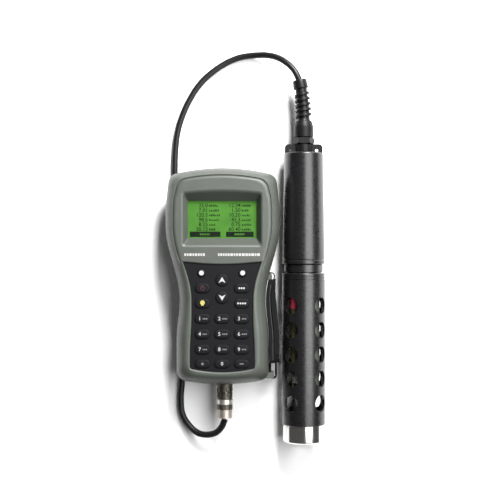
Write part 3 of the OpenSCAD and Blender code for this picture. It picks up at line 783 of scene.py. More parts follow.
# ---------------------------------------------------------------- lead
@dataclass
class Lead:
    """The lead from the probe, over the floor and under the meter, to the plug."""

    palette: Palette
    diameter: float = 6.6
    route: tuple[tuple[float, float, float], ...] = (
        (54.8, 183.2, 22), (51.8, 189.8, 21.8), (48.8, 194.9, 20.9), (41.8, 202.2, 18.6), (33, 208, 15.2),
        (23.5, 211.2, 11.2), (13.5, 212.2, 7.8), (4, 211.9, 5.4), (-5.4, 210.5, 4.1), (-14, 207.7, 3.6),
        (-22, 203.8, 3.5), (-36, 194.2, 3.5), (-48, 182.5, 3.5), (-57.3, 168.5, 3.5), (-65, 152.4, 3.5),
        (-70.8, 133.3, 3.5), (-73.4, 110.2, 3.5), (-73.8, 96, 3.5), (-73.8, 80, 3.5), (-73.7, 60, 3.5),
        (-73.2, 38, 3.5), (-71.2, 16, 3.5), (-66.8, -8, 3.5), (-62.8, -32, 3.5), (-62, -56, 3.5),
        (-63.3, -84, 3.5), (-65, -110, 3.5), (-66.6, -128, 3.5), (-67.6, -146, 3.6), (-65.8, -159.2, 4.6),
        (-59.8, -169.4, 7), (-50, -177.5, 11), (-43.2, -179, 13.8), (-36.3, -178.3, 16.6),
        (-30, -175.7, 19.2), (-25, -170.2, 21.6), (-21.4, -161.9, 23))

    def build(self, plug_pieces: Sequence[Piece]) -> None:
        """Makes the lead.

        Args:
            plug_pieces: The pieces on its far end; not used.
        """
        curve = bpy.data.curves.new("lead", "CURVE")
        curve.dimensions = "3D"
        curve.bevel_depth = self.diameter / 2 * MM
        curve.bevel_resolution = 6
        curve.resolution_u = 8
        curve.use_fill_caps = True
        spline = curve.splines.new("BEZIER")
        spline.bezier_points.add(len(self.route) - 1)
        for point, place in zip(spline.bezier_points, self.route):
            point.co = Vector(place) * MM
            point.handle_left_type = point.handle_right_type = "AUTO"
        curve.materials.append(self.palette.made["lead_jacket"])
        lead = bpy.data.objects.new("lead", curve)
        bpy.context.scene.collection.objects.link(lead)
        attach(lead, SET)
        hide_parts("cable")


# ---------------------------------------------------------------- meter housing
@dataclass
class CaseOutline:
    """Outline of the meter, wide at the display, narrow at the waist."""

    centre: Vector
    length: float
    upper_w: float
    waist_w: float = 86.8
    lower_w: float = 92.8
    crown_w: float = 109.8
    lower_y: float = -65.0
    waist_y: float = -24.0
    upper_y: float = 52.0
    crown_y: float = 62.0
    shoulder_y: float = 100.0
    top_r: float = 197.0
    bottom_r: float = 210.0
    corner_r: float = 11.0
    side_steps: int = 44
    corner_steps: int = 9
    end_steps: int = 8

    def half_w(self, y: float) -> float:
        """Half the width at a place along the meter."""
        return (
            self.lower_w / 2
            + (self.waist_w - self.lower_w) / 2 * ease((y - self.lower_y) / (self.waist_y - self.lower_y))
            + (self.upper_w - self.waist_w) / 2 * ease((y - self.waist_y) / (self.upper_y - self.waist_y))
            + (self.crown_w - self.upper_w) / 2 * ease((y - self.crown_y) / (self.shoulder_y - self.crown_y)))

    def _end(self, width: float, radius: float, inset: float) -> list[Pair]:
        """Right-hand end of the outline, from the side to the middle of the end arc."""
        round_r = self.corner_r + 0.25 * inset
        corner_x = width / 2 - inset - round_r
        rise = math.sqrt((radius - inset - round_r) ** 2 - corner_x**2)
        turn = math.degrees(math.atan2(rise, corner_x))
        base = self.length / 2 - radius
        corner = arc(corner_x, base + rise, round_r, 0, turn, self.corner_steps)
        return corner + arc(0, base, radius - inset, turn, 90, self.end_steps)[1:]

    def points(self, inset: float) -> list[Pair]:
        """The whole outline, inset by a distance."""
        top = self._end(self.crown_w, self.top_r, inset)
        bottom = [(x, -y) for x, y in reversed(self._end(self.lower_w, self.bottom_r, inset))]
        low, high = bottom[-1][1], top[0][1]
        steps = [low + (high - low) * step / self.side_steps for step in range(1, self.side_steps)]
        half = bottom + [(self.half_w(y) - inset, y) for y in steps] + top
        return half + [(-x, y) for x, y in reversed(half[1:-1])]

    def ring(self, inset: float, height: Callable[[float], float]) -> list[Vector]:
        """One ring of the shell, whose height may change along the meter."""
        return [
            Vector((self.centre.x + x, self.centre.y + y, height(y)))
            for x, y in self.points(inset)]


@dataclass
class MeterCase:
    """The two shells of the meter with what is cut into them."""

    palette: Palette
    parts: dict[str, Piece]
    dome_reach: float = 12.0
    dome_power: float = 1.8
    groove_at: float = 8.6
    groove_depth: float = 1.1
    ridge_at: float = 7.2
    ridge_height: float = 0.5
    rim_round: float = 1.6
    recess_half: float = 38.9
    recess_low: float = 30.3
    recess_top: float = 85.2
    recess_bulge: float = 2.4
    glass_half: float = 34.4
    glass_top: float = 75.2
    glass_l: float = 37.2
    window_z: float = 46.0
    pad_top: float = 14.2
    pad_low: float = -94.9
    pad_z: float = 53.4
    wall: float = 2.6
    outline: CaseOutline = field(init=False)
    face_z: float = field(init=False)
    rim_z: float = field(init=False)
    centre: Vector = field(init=False)

    def __post_init__(self) -> None:
        """Reads the shells' places from the frame."""
        front = Span.of("front_shell")
        self.centre = Vector((front.centre.x, front.centre.y, 0))
        self.outline = CaseOutline(self.centre, front.size.y, front.size.x)
        self.face_z = front.high.z
        self.rim_z = front.low.z

    def _front_height(self, inset: float) -> Callable[[float], float]:
        """Height of the front shell at an inset, with the groove that fades out below the display."""
        t = 1 - min(inset / self.dome_reach, 1.0)
        dome = self.rim_z + (self.face_z - self.rim_z) * (1 - t**self.dome_power) ** (1 / self.dome_power)
        groove_w, ridge_w = 0.45, 0.6
        fade_from, fade_reach = -2, 30
        groove = math.exp(-(((inset - self.groove_at) / groove_w) ** 2)) * self.groove_depth
        ridge = math.exp(-(((inset - self.ridge_at) / ridge_w) ** 2)) * self.ridge_height
        relief = ridge - groove if inset < self.dome_reach - 1 else 0.0
        return lambda y: dome + relief * ease((y - fade_from) / fade_reach)

    def recess_ring(self, share: float, outset: float, z: float) -> list[Vector]:
        """Outline of the display recess between the window and the face.

        Args:
            share: 0 at the window, 1 at the face.
            outset: Extra size.
            z: Height of the ring.

        Returns:
            The ring.
        """
        half = self.glass_half + (self.recess_half - self.glass_half) * share + outset
        low = self.glass_top - self.glass_l
        low += (self.recess_low - low) * share - outset
        top = self.glass_top + (self.recess_top - self.glass_top) * share + outset
        bulge = self.recess_bulge * share
        glass_corner, extra_corner = 0.8, 2.2
        corner = glass_corner + extra_corner * share
        side_top = top - bulge
        arch = [(half * k / 6, top - bulge * (k / 6) ** 2, 0.0) for k in range(5, -6, -1)]
        corners = [
            (-half, low, corner), (half, low, corner), (half, side_top, corner),
            *arch, (-half, side_top, corner)]
        return level(round_corners(corners), z, self.centre)

    def pad_half(self, y: float) -> float:
        """Half the keypad's width at a place along the meter."""
        waist_half, flare_w, foot_w = 30.2, 8.8, 1.6
        flare_from, foot_from, foot_reach = -22, -38, 40
        flare = max(0.0, (y - flare_from) / (self.pad_top - flare_from)) ** 1.7
        return waist_half + flare_w * flare + foot_w * ease((foot_from - y) / foot_reach)

    def pad_outline(self, inset: float) -> list[Pair]:
        """Outline of the keypad, inset by a distance."""
        low, high = self.pad_low + 3.4 + inset, self.pad_top - inset
        steps = 22
        side_ys = [low + (high - low) * step / steps for step in range(steps + 1)]
        side = [(self.pad_half(y) - inset, y, 0.0) for y in side_ys]
        side[0] = (side[0][0], side[0][1], 2.6)
        side[-1] = (side[-1][0], side[-1][1], 1.0)
        foot = [(k * 4.7 * (1 - inset / 40), self.pad_low + inset + 0.08 * k * k, 0.0) for k in range(-6, 7)]
        head = [(k * 6.0, high - 2.4 * (1 - k * k / 36), 0.0) for k in range(5, -6, -1)]
        mirrored = [(-x, y, reach) for x, y, reach in reversed(side)]
        return round_corners([*foot, *side, *head, *mirrored], 4)

    def build_front(self) -> None:
        """Makes the front shell."""
        insets = [
            0, 0.12, 0.45, 1.0, 1.8, 2.8, 3.9, 4.9, 5.8, 6.5,
            7.0, 7.4, 7.8, 8.2, 8.6, 9.0, 9.4, 9.9, 10.8, 12]
        inner = [(14.0, self.face_z - self.wall), (8.6, 50.0), (5.6, 46.0), (self.wall, self.rim_z)]
        rings = [self.outline.ring(inset, lambda y, z=z: z) for inset, z in inner]
        rings += [self.outline.ring(inset, self._front_height(inset)) for inset in insets]
        case = Shape().loft(rings).to_object("meter_front")
        wall = 2.0
        frame = Shape().block(
            self.centre + Vector((-self.recess_half - wall, self.recess_low - wall, self.window_z)),
            self.centre + Vector((self.recess_half + wall, self.recess_top + wall, self.face_z - 1.2)))
        carve(case, frame, "UNION")
        edge = arc(self.rim_round, self.face_z - self.rim_round, self.rim_round, 180, 90, 5)
        depth = self.face_z - self.window_z
        recess = [self.recess_ring(0, 0, self.window_z - 1)]
        recess += [
            self.recess_ring(1 - (self.face_z - z) / depth, offset, z)
            for offset, z in [(0.0, self.window_z), *edge, (self.rim_round, self.face_z + 2)]]
        carve(case, Shape().loft(recess))
        opening = [level(self.pad_outline(0), 48.0, self.centre)]
        opening += [level(self.pad_outline(-offset), z, self.centre) for offset, z in edge]
        opening.append(level(self.pad_outline(-self.rim_round), self.face_z + 2, self.centre))
        carve(case, Shape().loft(opening))
        settle(case, self.palette.pick("housing"), SET, ["front_shell"], 30)

    def build_back(self) -> None:
        """Makes the rear shell with its posts, lugs, battery bay and socket boss."""
        rear = Span.of("rear_shell")
        outer = smooth_path([(1.5, 13.6), (3, 12), (8, 10.4), (16, 5.8), (25, 1.6), (rear.high.z, 0)], 5)
        inner = [(rear.high.z, self.wall), (26, 4.2), (17, 8.6), (9, 13.4), (4.4, 16.5)]
        rings = [self.outline.ring(inset, lambda y, z=z: z) for z, inset in [*outer, *inner]]
        case = Shape().loft(rings).to_object("meter_back")
        cover, cells = Span.of("battery_cover"), Span.of("battery_cells")
        feet, pins, socket = Span.of("feet"), Span.of("strap_pins"), Span.of("socket_shell")
        foot_r, post_r = 3.8, 5.5
        corners = [Vector((x, y, 0)) for x, y in self._foot_places(feet, foot_r)]
        added = Shape()
        for corner in corners:
            added.post(corner, post_r, outer[0][0] + 0.5, rear.high.z - 0.5)
        carve(case, added, "UNION")
        lug_half, lug_t, lug_reach, nose, nose_r = 3.0, 2.0, 13.0, 1.6, 1.4
        ears = Shape()
        for x, y in self._pin_places(pins):
            for z in (17.0, 30.0):
                ears.loft([
                    level(round_corners([
                        (x - lug_reach, y - lug_half, 0), (x + nose, y - lug_half, nose_r),
                        (x + nose, y + lug_half, nose_r), (x - lug_reach, y + lug_half, 0)]), height)
                    for height in (z, z + lug_t)])
        carve(case, ears, "UNION")
        axis, boss_r, bore_r = Vector((socket.centre.x, 0, 23)), 10, 6.6
        boss = [(boss_r, socket.high.y - 9), (boss_r, rear.low.y + 2.2)]
        carve(case, Shape().turned(axis, boss, sides=48), "UNION")
        hollow = Shape()
        for corner in corners:
            hollow.post(corner, foot_r + 0.2, 0, 6)
        gap = 0.35
        hollow.block(
            Vector((cover.low.x - gap, cover.low.y - gap, 0)),
            Vector((cover.high.x + gap, cover.high.y + gap, outer[0][0] + 1.6)))
        carve(case, hollow)
        bay = Shape().block(
            Vector((cells.low.x - 1, cells.low.y - 1.2, 0)),
            Vector((cells.high.x + 1, cells.high.y + 1.2, 6)))
        carve(case, bay)
        bore = [(bore_r, rear.low.y - 2), (bore_r, rear.low.y + 14)]
        carve(case, Shape().turned(axis, bore, sides=48))
        settle(case, self.palette.pick("housing"), SET, ["rear_shell"], 30)

    @staticmethod
    def _foot_places(feet: Span, radius: float) -> list[Pair]:
        """Middles of the four feet."""
        low_inset = 10.0
        left, right = feet.low.x + radius, feet.high.x - radius
        return [
            (left, feet.high.y - radius), (right, feet.high.y - radius),
            (left + low_inset, feet.low.y + radius), (right - low_inset, feet.low.y + radius)]

    @staticmethod
    def _pin_places(pins: Span) -> list[Pair]:
        """Middles of the two strap pins."""
        radius = 1.2
        return [(pins.low.x + radius, pins.high.y - radius), (pins.high.x - radius, pins.low.y + radius)]

    def build_label(self) -> None:
        """Prints plain dashes where a label would stand."""
        shape = Shape()
        random_widths = random.Random(7)
        base = self.face_z + 0.02
        label_y, high, gap, least = 21.6, 2.6, 0.7, 1.2
        for start, end in ((-37.4, -17.0), (-4.0, 38.2)):
            x = start
            while x < end - least:
                width = min(random_widths.uniform(1.4, 3.0), end - x)
                corners = rounded_box((x, label_y - high / 2), (x + width, label_y + high / 2), 0.4, 3)
                shape.prism(corners, base - 0.1, base + 0.05, self.centre)
                x += width + gap
        settle(shape.to_object("label_dashes"), self.palette.pick("white_ink"), SET)

    def build(self) -> None:
        """Makes the housing and dresses the pieces kept from the frame."""
        self.build_front()
        self.build_back()
        self.build_label()
        for node, finish in {
            "case_seal": "seal_rubber", "feet": "seal_rubber", "window_seal": "seal_rubber",
            "display_window": "window", "battery_cover": "housing", "cover_screws": "screw_steel",
            "case_screws": "screw_steel", "battery_cells": "cell_jacket", "battery_contacts": "spring_steel",
            "main_board": "board", "key_switches": "spring_steel", "strap_pins": "spring_steel",
        }.items():
            self.palette.dress(self.parts[node], finish)


# ---------------------------------------------------------------- display
@dataclass
class Display:
    """The lit panel and what it shows: plain figures in two columns."""

    palette: Palette
    parts: dict[str, Piece]
    figures: tuple[tuple[str, str], ...] = (
        ("25.0", "12.34"), ("7.01", "1.50"), ("120.5", "10.20"),
        ("98.6", "45.3"), ("8.25", "0.75"), ("30.12", "60.40"))
    first_row: float = 14.0
    row_pitch: float = 4.75
    figure_size: float = 5.4
    thickness: float = 0.08

    def build(self) -> None:
        """Makes the figures, the bars beside them and the two key labels."""
        panel = Span.of("lcd_module")
        self.palette.dress(self.parts["lcd_module"], "display")
        face = panel.high.z + 0.02
        middle = panel.centre
        shape = Shape()
        letters = random.Random(11)
        unit_gap, letter_gap, drop = 1.2, 0.6, 1.2
        for row, pair in enumerate(self.figures):
            y = middle.y + self.first_row - row * self.row_pitch
            for text, end in zip(pair, (-14.4, 18.2)):
                place = Vector((middle.x + end, y, face))
                shape.words(text, self.figure_size, place, self.thickness, "RIGHT")
                x = middle.x + end + unit_gap
                for _ in range(letters.randint(4, 6)):
                    width = letters.uniform(0.9, 1.5)
                    high = letters.choice((1.5, 2.1, 2.1))
                    shape.block(
                        Vector((x, y - drop, face)),
                        Vector((x + width, y - drop + high, face + self.thickness / 2)))
                    x += width + letter_gap
        for low, high in ((-32.6, -1.9), (3.6, 31.2)):
            shape.use(0).block(
                middle + Vector((low, -17.4, face - middle.z)),
                middle + Vector((high, -12.0, face - middle.z + self.thickness / 2)))
            shape.use(1)
            for k in range(-3, 3):
                x = middle.x + (low + high) / 2 + k * 1.7
                shape.block(
                    Vector((x, middle.y - 15.6, face + self.thickness / 2)),
                    Vector((x + 1.1, middle.y - 13.8, face + self.thickness)))
        piece = shape.use(0).to_object("display_figures")
        settle(piece, self.palette.pick("display_ink", "display"), SET)


# ---------------------------------------------------------------- keypad
class Mark(Enum):
    """What is printed on a key."""

    DOT = "dot"
    UP = "up"
    DOWN = "down"
    POWER = "power"
    LAMP = "lamp"
    SHORT_BAR = "short_bar"
    LONG_BAR = "long_bar"
    DIGIT = "digit"
    POINT = "point"
    MINUS = "minus"

    @classmethod
    def on(cls, key: str) -> "Mark":
        """The mark that belongs on a key."""
        name = key.removeprefix("key_")
        named = {
            "soft_left": cls.DOT, "soft_right": cls.DOT, "up": cls.UP, "down": cls.DOWN,
            "power": cls.POWER, "lamp": cls.LAMP, "escape": cls.SHORT_BAR, "help": cls.LONG_BAR,
            "point": cls.POINT, "minus": cls.MINUS}
        return named.get(name, cls.DIGIT)


@dataclass
class Key:
    """One key: a low dome with its mark."""

    name: str
    palette: Palette
    dome: float = 0.2
    ink: float = 0.07

    def _rings(self, span: Span) -> list[list[Vector]]:
        """Rings of the cap from its foot to the middle of its dome."""
        top = span.high.z
        place = Vector((span.centre.x, span.centre.y, 0))
        steps = [
            (0.0, top - 4.2), (0.0, top - 0.8), (0.12, top - 0.42), (0.4, top - 0.16), (0.9, top - 0.02),
            (1.8, top + self.dome * 0.6), (3.0, top + self.dome)]
        half = min(span.size.x, span.size.y) / 2
        return [
            level(oval(span.size.x, span.size.y, min(inset, half - 0.3)), z, place)
            for inset, z in steps]

    def _mark(self, shape: Shape, place: Vector) -> None:
        """Prints the key's mark.

        Args:
            shape: The cap.
            place: Middle of the mark, on the cap's top.
        """
        low, high = place.z - 0.3, place.z + self.ink
        mark = Mark.on(self.name)
        if mark is Mark.DOT:
            shape.use(1).post(place, 2.4, low, high)
        elif mark in (Mark.UP, Mark.DOWN):
            way = 1 if mark is Mark.UP else -1
            arrow = [(0, 3.1 * way), (3.5, -2.9 * way), (0, -1.0 * way), (-3.5, -2.9 * way)]
            shape.use(1).prism(arrow, low, high, place)
        elif mark is Mark.POWER:
            shape.use(3).loft([
                level(arc(0, 0, radius, 0, 350, 35), z, place)
                for radius, z in ((2.2, low), (2.2, high), (1.6, high), (1.6, low))], closed=True)
            shape.prism([(-0.3, 0.2), (0.3, 0.2), (0.3, 3.0), (-0.3, 3.0)], low, high + 0.02, place)
        elif mark is Mark.LAMP:
            bulb = arc(0, 0.7, 2.3, -50, 230, 20)
            shape.use(4).prism([*bulb, (-0.9, -2.3), (0.9, -2.3)], low, high, place)
        elif mark in (Mark.SHORT_BAR, Mark.LONG_BAR):
            count, pitch = (3, 2.3) if mark is Mark.SHORT_BAR else (4, 2.35)
            for k in range(count):
                x = (k - (count - 1) / 2) * pitch
                shape.use(1).prism(oval(1.8, 2.0, 0.02, 3), low, high, place + Vector((x, 0, 0)))
        elif mark is Mark.POINT:
            shape.use(2).post(place, 1.3, low, high)
        elif mark is Mark.MINUS:
            shape.use(2).prism(oval(4.2, 1.1, 0, 3), low, high, place)
        else:
            digit = self.name[-1]
            alone = digit == "0"
            figure_at = place + Vector((0 if alone else -2.7, 0, 0))
            shape.use(1).words(digit, 5.0, figure_at, 2 * self.ink)
            bars = random.Random(int(digit))
            x = 0.2
            while not alone and x < 4.6:
                width = bars.uniform(0.9, 1.5)
                shape.use(2).prism(
                    [(x, -0.75), (x + width, -0.75), (x + width, 0.65), (x, 0.65)], low, high, place)
                x += width + 0.45

    def build(self) -> None:
        """Makes the key."""
        span = Span.of(self.name)
        shape = Shape().loft(self._rings(span))
        self._mark(shape, Vector((span.centre.x, span.centre.y, span.high.z + self.dome)))
        inks = self.palette.pick("key_rubber", "white_ink", "grey_ink", "red_ink", "amber_ink")
        settle(shape.to_object(f"cap_{self.name}"), inks, self.name, [self.name])


@dataclass
class Keypad:
    """The rubber mat with its keys."""

    palette: Palette
    case: MeterCase
    gap: float = 0.16
    edge: float = 0.5

    def build(self, bodies: Sequence[str]) -> None:
        """Makes the mat and every key.

        Args:
            bodies: Names of the keys' bodies.
        """
        top, low = self.case.pad_z, Span.of("keypad_mat").low.z
        rings = [
            level(self.case.pad_outline(inset), z, self.case.centre)
            for inset, z in ((0.12, low), (0.12, top - self.edge), (0.3, top - 0.12), (0.7, top))]
        mat = Shape().loft(rings).to_object("keypad_rubber_mat")
        holes = Shape()
        for key in bodies:
            span = Span.of(key)
            size = span.size + Vector((2 * self.gap, 2 * self.gap, 0))
            holes.prism(oval(size.x, size.y), low - 1, top + 1, Vector((span.centre.x, span.centre.y, 0)))
        carve(mat, holes)
        settle(mat, self.palette.pick("keypad_rubber"), SET, ["keypad_mat"])
        for key in bodies:
            Key(key, self.palette).build()


# ---------------------------------------------------------------- strap
@dataclass
class HandStrap:
    """Webbing strap with a soft pad, held by two pins, and the thin cord at its lower end."""

    palette: Palette
    case: MeterCase
    from_y: float = -3.4
    to_y: float = -88.0
    lean: float = 10.6
    top_z: float = 41.0
    low_z: float = 21.0
    thickness: float = 3.0

    def _section(self, y: float) -> list[Vector]:
        """One section of the strap: a thin crowned band with round edges."""
        end_share, extra_share, widens_from, widens_over = 0.72, 0.28, -4.6, 30
        width = end_share + extra_share * ease((widens_from - y) / widens_over)
        x = self.case.outline.half_w(y) + 0.2
        start = Vector((x, y, self.top_z))
        across = Vector((self.lean * width, 0, -(self.top_z - self.low_z) * width))
        out = Vector((-across.z, 0, across.x)).normalized()
        end_thickness, steps = 0.3, 12
        taper = ease((self.from_y - y) / 6) * ease((y - self.to_y) / 4) * 0.7 + end_thickness
        thick = self.thickness * taper
        upper = [
            start + across * t + out * (thick * (0.35 + 0.65 * math.sin(math.pi * t) ** 0.5))
            for t in (step / steps for step in range(steps + 1))]
        return [self.case.centre + point for point in [start, *upper, start + across]]

    def build_band(self) -> None:
        """Makes the webbing band with its loop, pad and stitches."""
        steps = 40
        ys = [self.from_y + (self.to_y - self.from_y) * step / steps for step in range(steps + 1)]
        shape = Shape().loft([self._section(y) for y in ys])
        pad_rows = []
        for y in ys[5:-4]:
            ring = self._section(y)
            inner = ring[4:11]
            raised = [point + Vector((0.6, 0, 0.35)) for point in inner]
            pad_rows.append([inner[0], *raised, inner[-1]])
        shape.use(1).loft(pad_rows)
        pin = MeterCase._pin_places(Span.of("strap_pins"))[0]
        eye = Vector((pin[0] + 1.0, pin[1] + 0.2, 0))
        strap = Span.of("hand_strap")
        eye_low, eye_high = strap.low.z, strap.low.z + 10
        shape.use(0).loft([
            level(oval(2 * radius, 2.5 * radius), z, eye)
            for radius, z in ((3.7, eye_low), (3.7, eye_high), (2.7, eye_high), (2.7, eye_low))], closed=True)
        stitch = ((0.05, -0.7, 0.05), (0.3, 0, 0.2), (0.05, 0.7, 0.05))
        shape.use(2)
        for y in ys[3:-2]:
            ring = self._section(y)
            for point in (ring[3], ring[-4]):
                shape.tube([point + Vector(shift) for shift in stitch], 0.22, sides=6)
        piece = shape.use(0).to_object("hand_strap_band")
        finishes = self.palette.pick("webbing", "pad_cloth", "grey_ink")
        settle(piece, finishes, SET, ["hand_strap"], 50)

    def build_cord(self) -> None:
        """Makes the cord loop that ties the strap's lower end to its pin."""
        span = Span.of("strap_cord")
        radius = span.size.z / 2
        middle = span.centre
        loop = oval(span.size.x - 2 * radius, span.size.y - 2 * radius, 0, 10)
        path = [middle + Vector((x, y, 0)) for x, y in loop[::2]]
        shape = Shape().tube(path, radius, closed=True)
        knot = middle + Vector((0, -span.size.y / 2 + 1.6, 0))
        points, turn, sway, thread = 26, 0.72, 0.5, 0.5
        knot_path = [
            knot + Vector((1.5 * math.cos(k * turn), 1.0 * math.sin(k * sway), 0.9 * math.sin(k * turn)))
            for k in range(points)]
        shape.tube(knot_path, thread, sides=8)
        piece = shape.to_object("strap_tie_cord")
        settle(piece, self.palette.pick("webbing"), SET, ["strap_cord"])

    def build(self) -> None:
        """Makes the strap's pieces."""
        self.build_band()
        self.build_cord()


# ---------------------------------------------------------------- connector
@dataclass
class Connector:
    """Socket on the meter and the plug with its turning collar."""

    palette: Palette
    parts: dict[str, Piece]
    socket_out: float = 8.8
    band_to: float = 34.2
    wall_y: float = field(init=False)
    axis: Vector = field(init=False)

    def __post_init__(self) -> None:
        """Reads the socket's place from the frame."""
        self.wall_y = Span.of("rear_shell").low.y
        self.axis = Span.of("plug_collar").centre

    def _out(self, profile: Sequence[Pair]) -> list[Pair]:
        """A profile given as radius and distance out from the meter's end wall."""
        return [(radius, self.wall_y - distance) for radius, distance in profile]

    def _notches(
        self, count: int, radius: float, start: float, end: float, width: float, turn: float = 0.0
    ) -> Shape:
        """Grooves along a turned part.

        Args:
            count: Number of grooves.
            radius: Where their bottom lies.
            start: Distance from the wall where they begin.
            end: Distance where they end.
            width: Their width.
            turn: Angle of the first one in degrees.

        Returns:
            The shape to cut away.
        """
        shape = Shape()
        depth, foot_share = 3, 0.7
        for k in range(count):
            angle = math.radians(turn + 360 * k / count)
            out = Vector((math.cos(angle), 0, math.sin(angle)))
            side = Vector((-out.z, 0, out.x))
            rings = []
            for distance in (start, end):
                base = Vector((self.axis.x, self.wall_y - distance, self.axis.z))
                foot, mouth = base + out * radius, base + out * (radius + depth)
                rings.append([
                    foot - side * width / 2 * foot_share, mouth - side * width / 2,
                    mouth + side * width / 2, foot + side * width / 2 * foot_share])
            shape.loft(rings)
        return shape

    def _paint_light_band(self, piece: Piece, start: float, end: float, finish_index: int) -> None:
        """Gives the faces of one band, between two distances from the wall, a painted-highlight or
        painted-shade copy of the nickel.
        """
        for face in piece.data.polygons:
            distance = self.wall_y - face.center.y / MM
            if start < distance < end:
                face.material_index = finish_index

    def build(self) -> list[Piece]:
        """Makes the connector.

        Returns:
            The pieces that are on the lead.
        """
        # The plain nickel, its painted-highlight copy and its painted-shade copy, in that order.
        nickel = self.palette.pick("nickel", "nickel_bright", "nickel_dark")
        end = self.wall_y - Span.of("plug_body").low.y
        out, band = self.socket_out, self.band_to
        socket = Shape().turned(self.axis, self._out([
            (6.4, -12), (6.4, 0.35), (7.6, 0.5), (8.0, 0.9), (8.0, 3.2), (7.4, 3.5), (7.4, 4.1), (8.0, 4.4),
            (8.0, out - 0.4), (7.7, out), (5.3, out), (5.3, -12)]), closed=True).to_object("socket_ring")
        carve(socket, self._notches(10, 6.7, 4.5, out + 1, 2.4, 10))
        # Painted shade: the socket ring outside the wall takes the darkened nickel copy, for the shade under
        # the meter's overhang.
        self._paint_light_band(socket, 0, out + 0.2, 2)
        settle(socket, nickel, SET, ["socket_shell"])
        collar = Shape().turned(self.axis, self._out([
            (6.3, 9.3), (7.5, 9.3), (7.8, 9.6), (7.8, 15.6), (7.5, 15.9), (7.5, 16.4), (8.0, 16.8),
            (8.0, 21.2), (7.5, 21.6), (7.5, 22.0), (7.8, 22.3), (7.8, 26.8), (7.5, 27.1), (6.3, 27.1)]),
            closed=True).to_object("turning_collar")
        carve(collar, self._notches(10, 6.6, 8.5, 13.9, 2.4))
        carve(collar, self._notches(10, 6.6, 22.9, 28, 2.4, 18))
        # Painted shade on the two notched bands, painted highlight on the plain band between them.
        for start, end, finish_index in ((9, 16.2, 2), (16.2, 21.8, 1), (21.8, 27.4, 2)):
            self._paint_light_band(collar, start, end, finish_index)
        settle(collar, nickel, COLLAR, ["plug_collar"])
        barrel = Shape().turned(self.axis, self._out([
            (4.5, 7.0), (5.2, 7.0), (5.2, 9.4), (6.15, 9.6), (6.15, 27.5), (6.9, 27.6), (7.1, 27.9),
            (7.1, 33.6), (6.7, band), (5.9, band + 0.1), (5.9, band + 1.0), (7.0, band + 1.1),
            (7.3, band + 1.4), (7.3, end - 0.5), (6.8, end), (3.35, end), (3.35, end - 2), (4.5, end - 3)]),
            closed=True).to_object("plug_barrel")
        # Painted highlight: the barrel past its groove takes the brightened nickel copy.
        self._paint_light_band(barrel, band + 1.0, end + 1, 1)
        settle(barrel, nickel, SET, ["plug_body"])
        self.palette.dress(self.parts["plug_insert"], "insulator")
        self.palette.dress(self.parts["socket_pins"], "contact_gold")
        return [barrel, collar, self.parts["plug_insert"]]


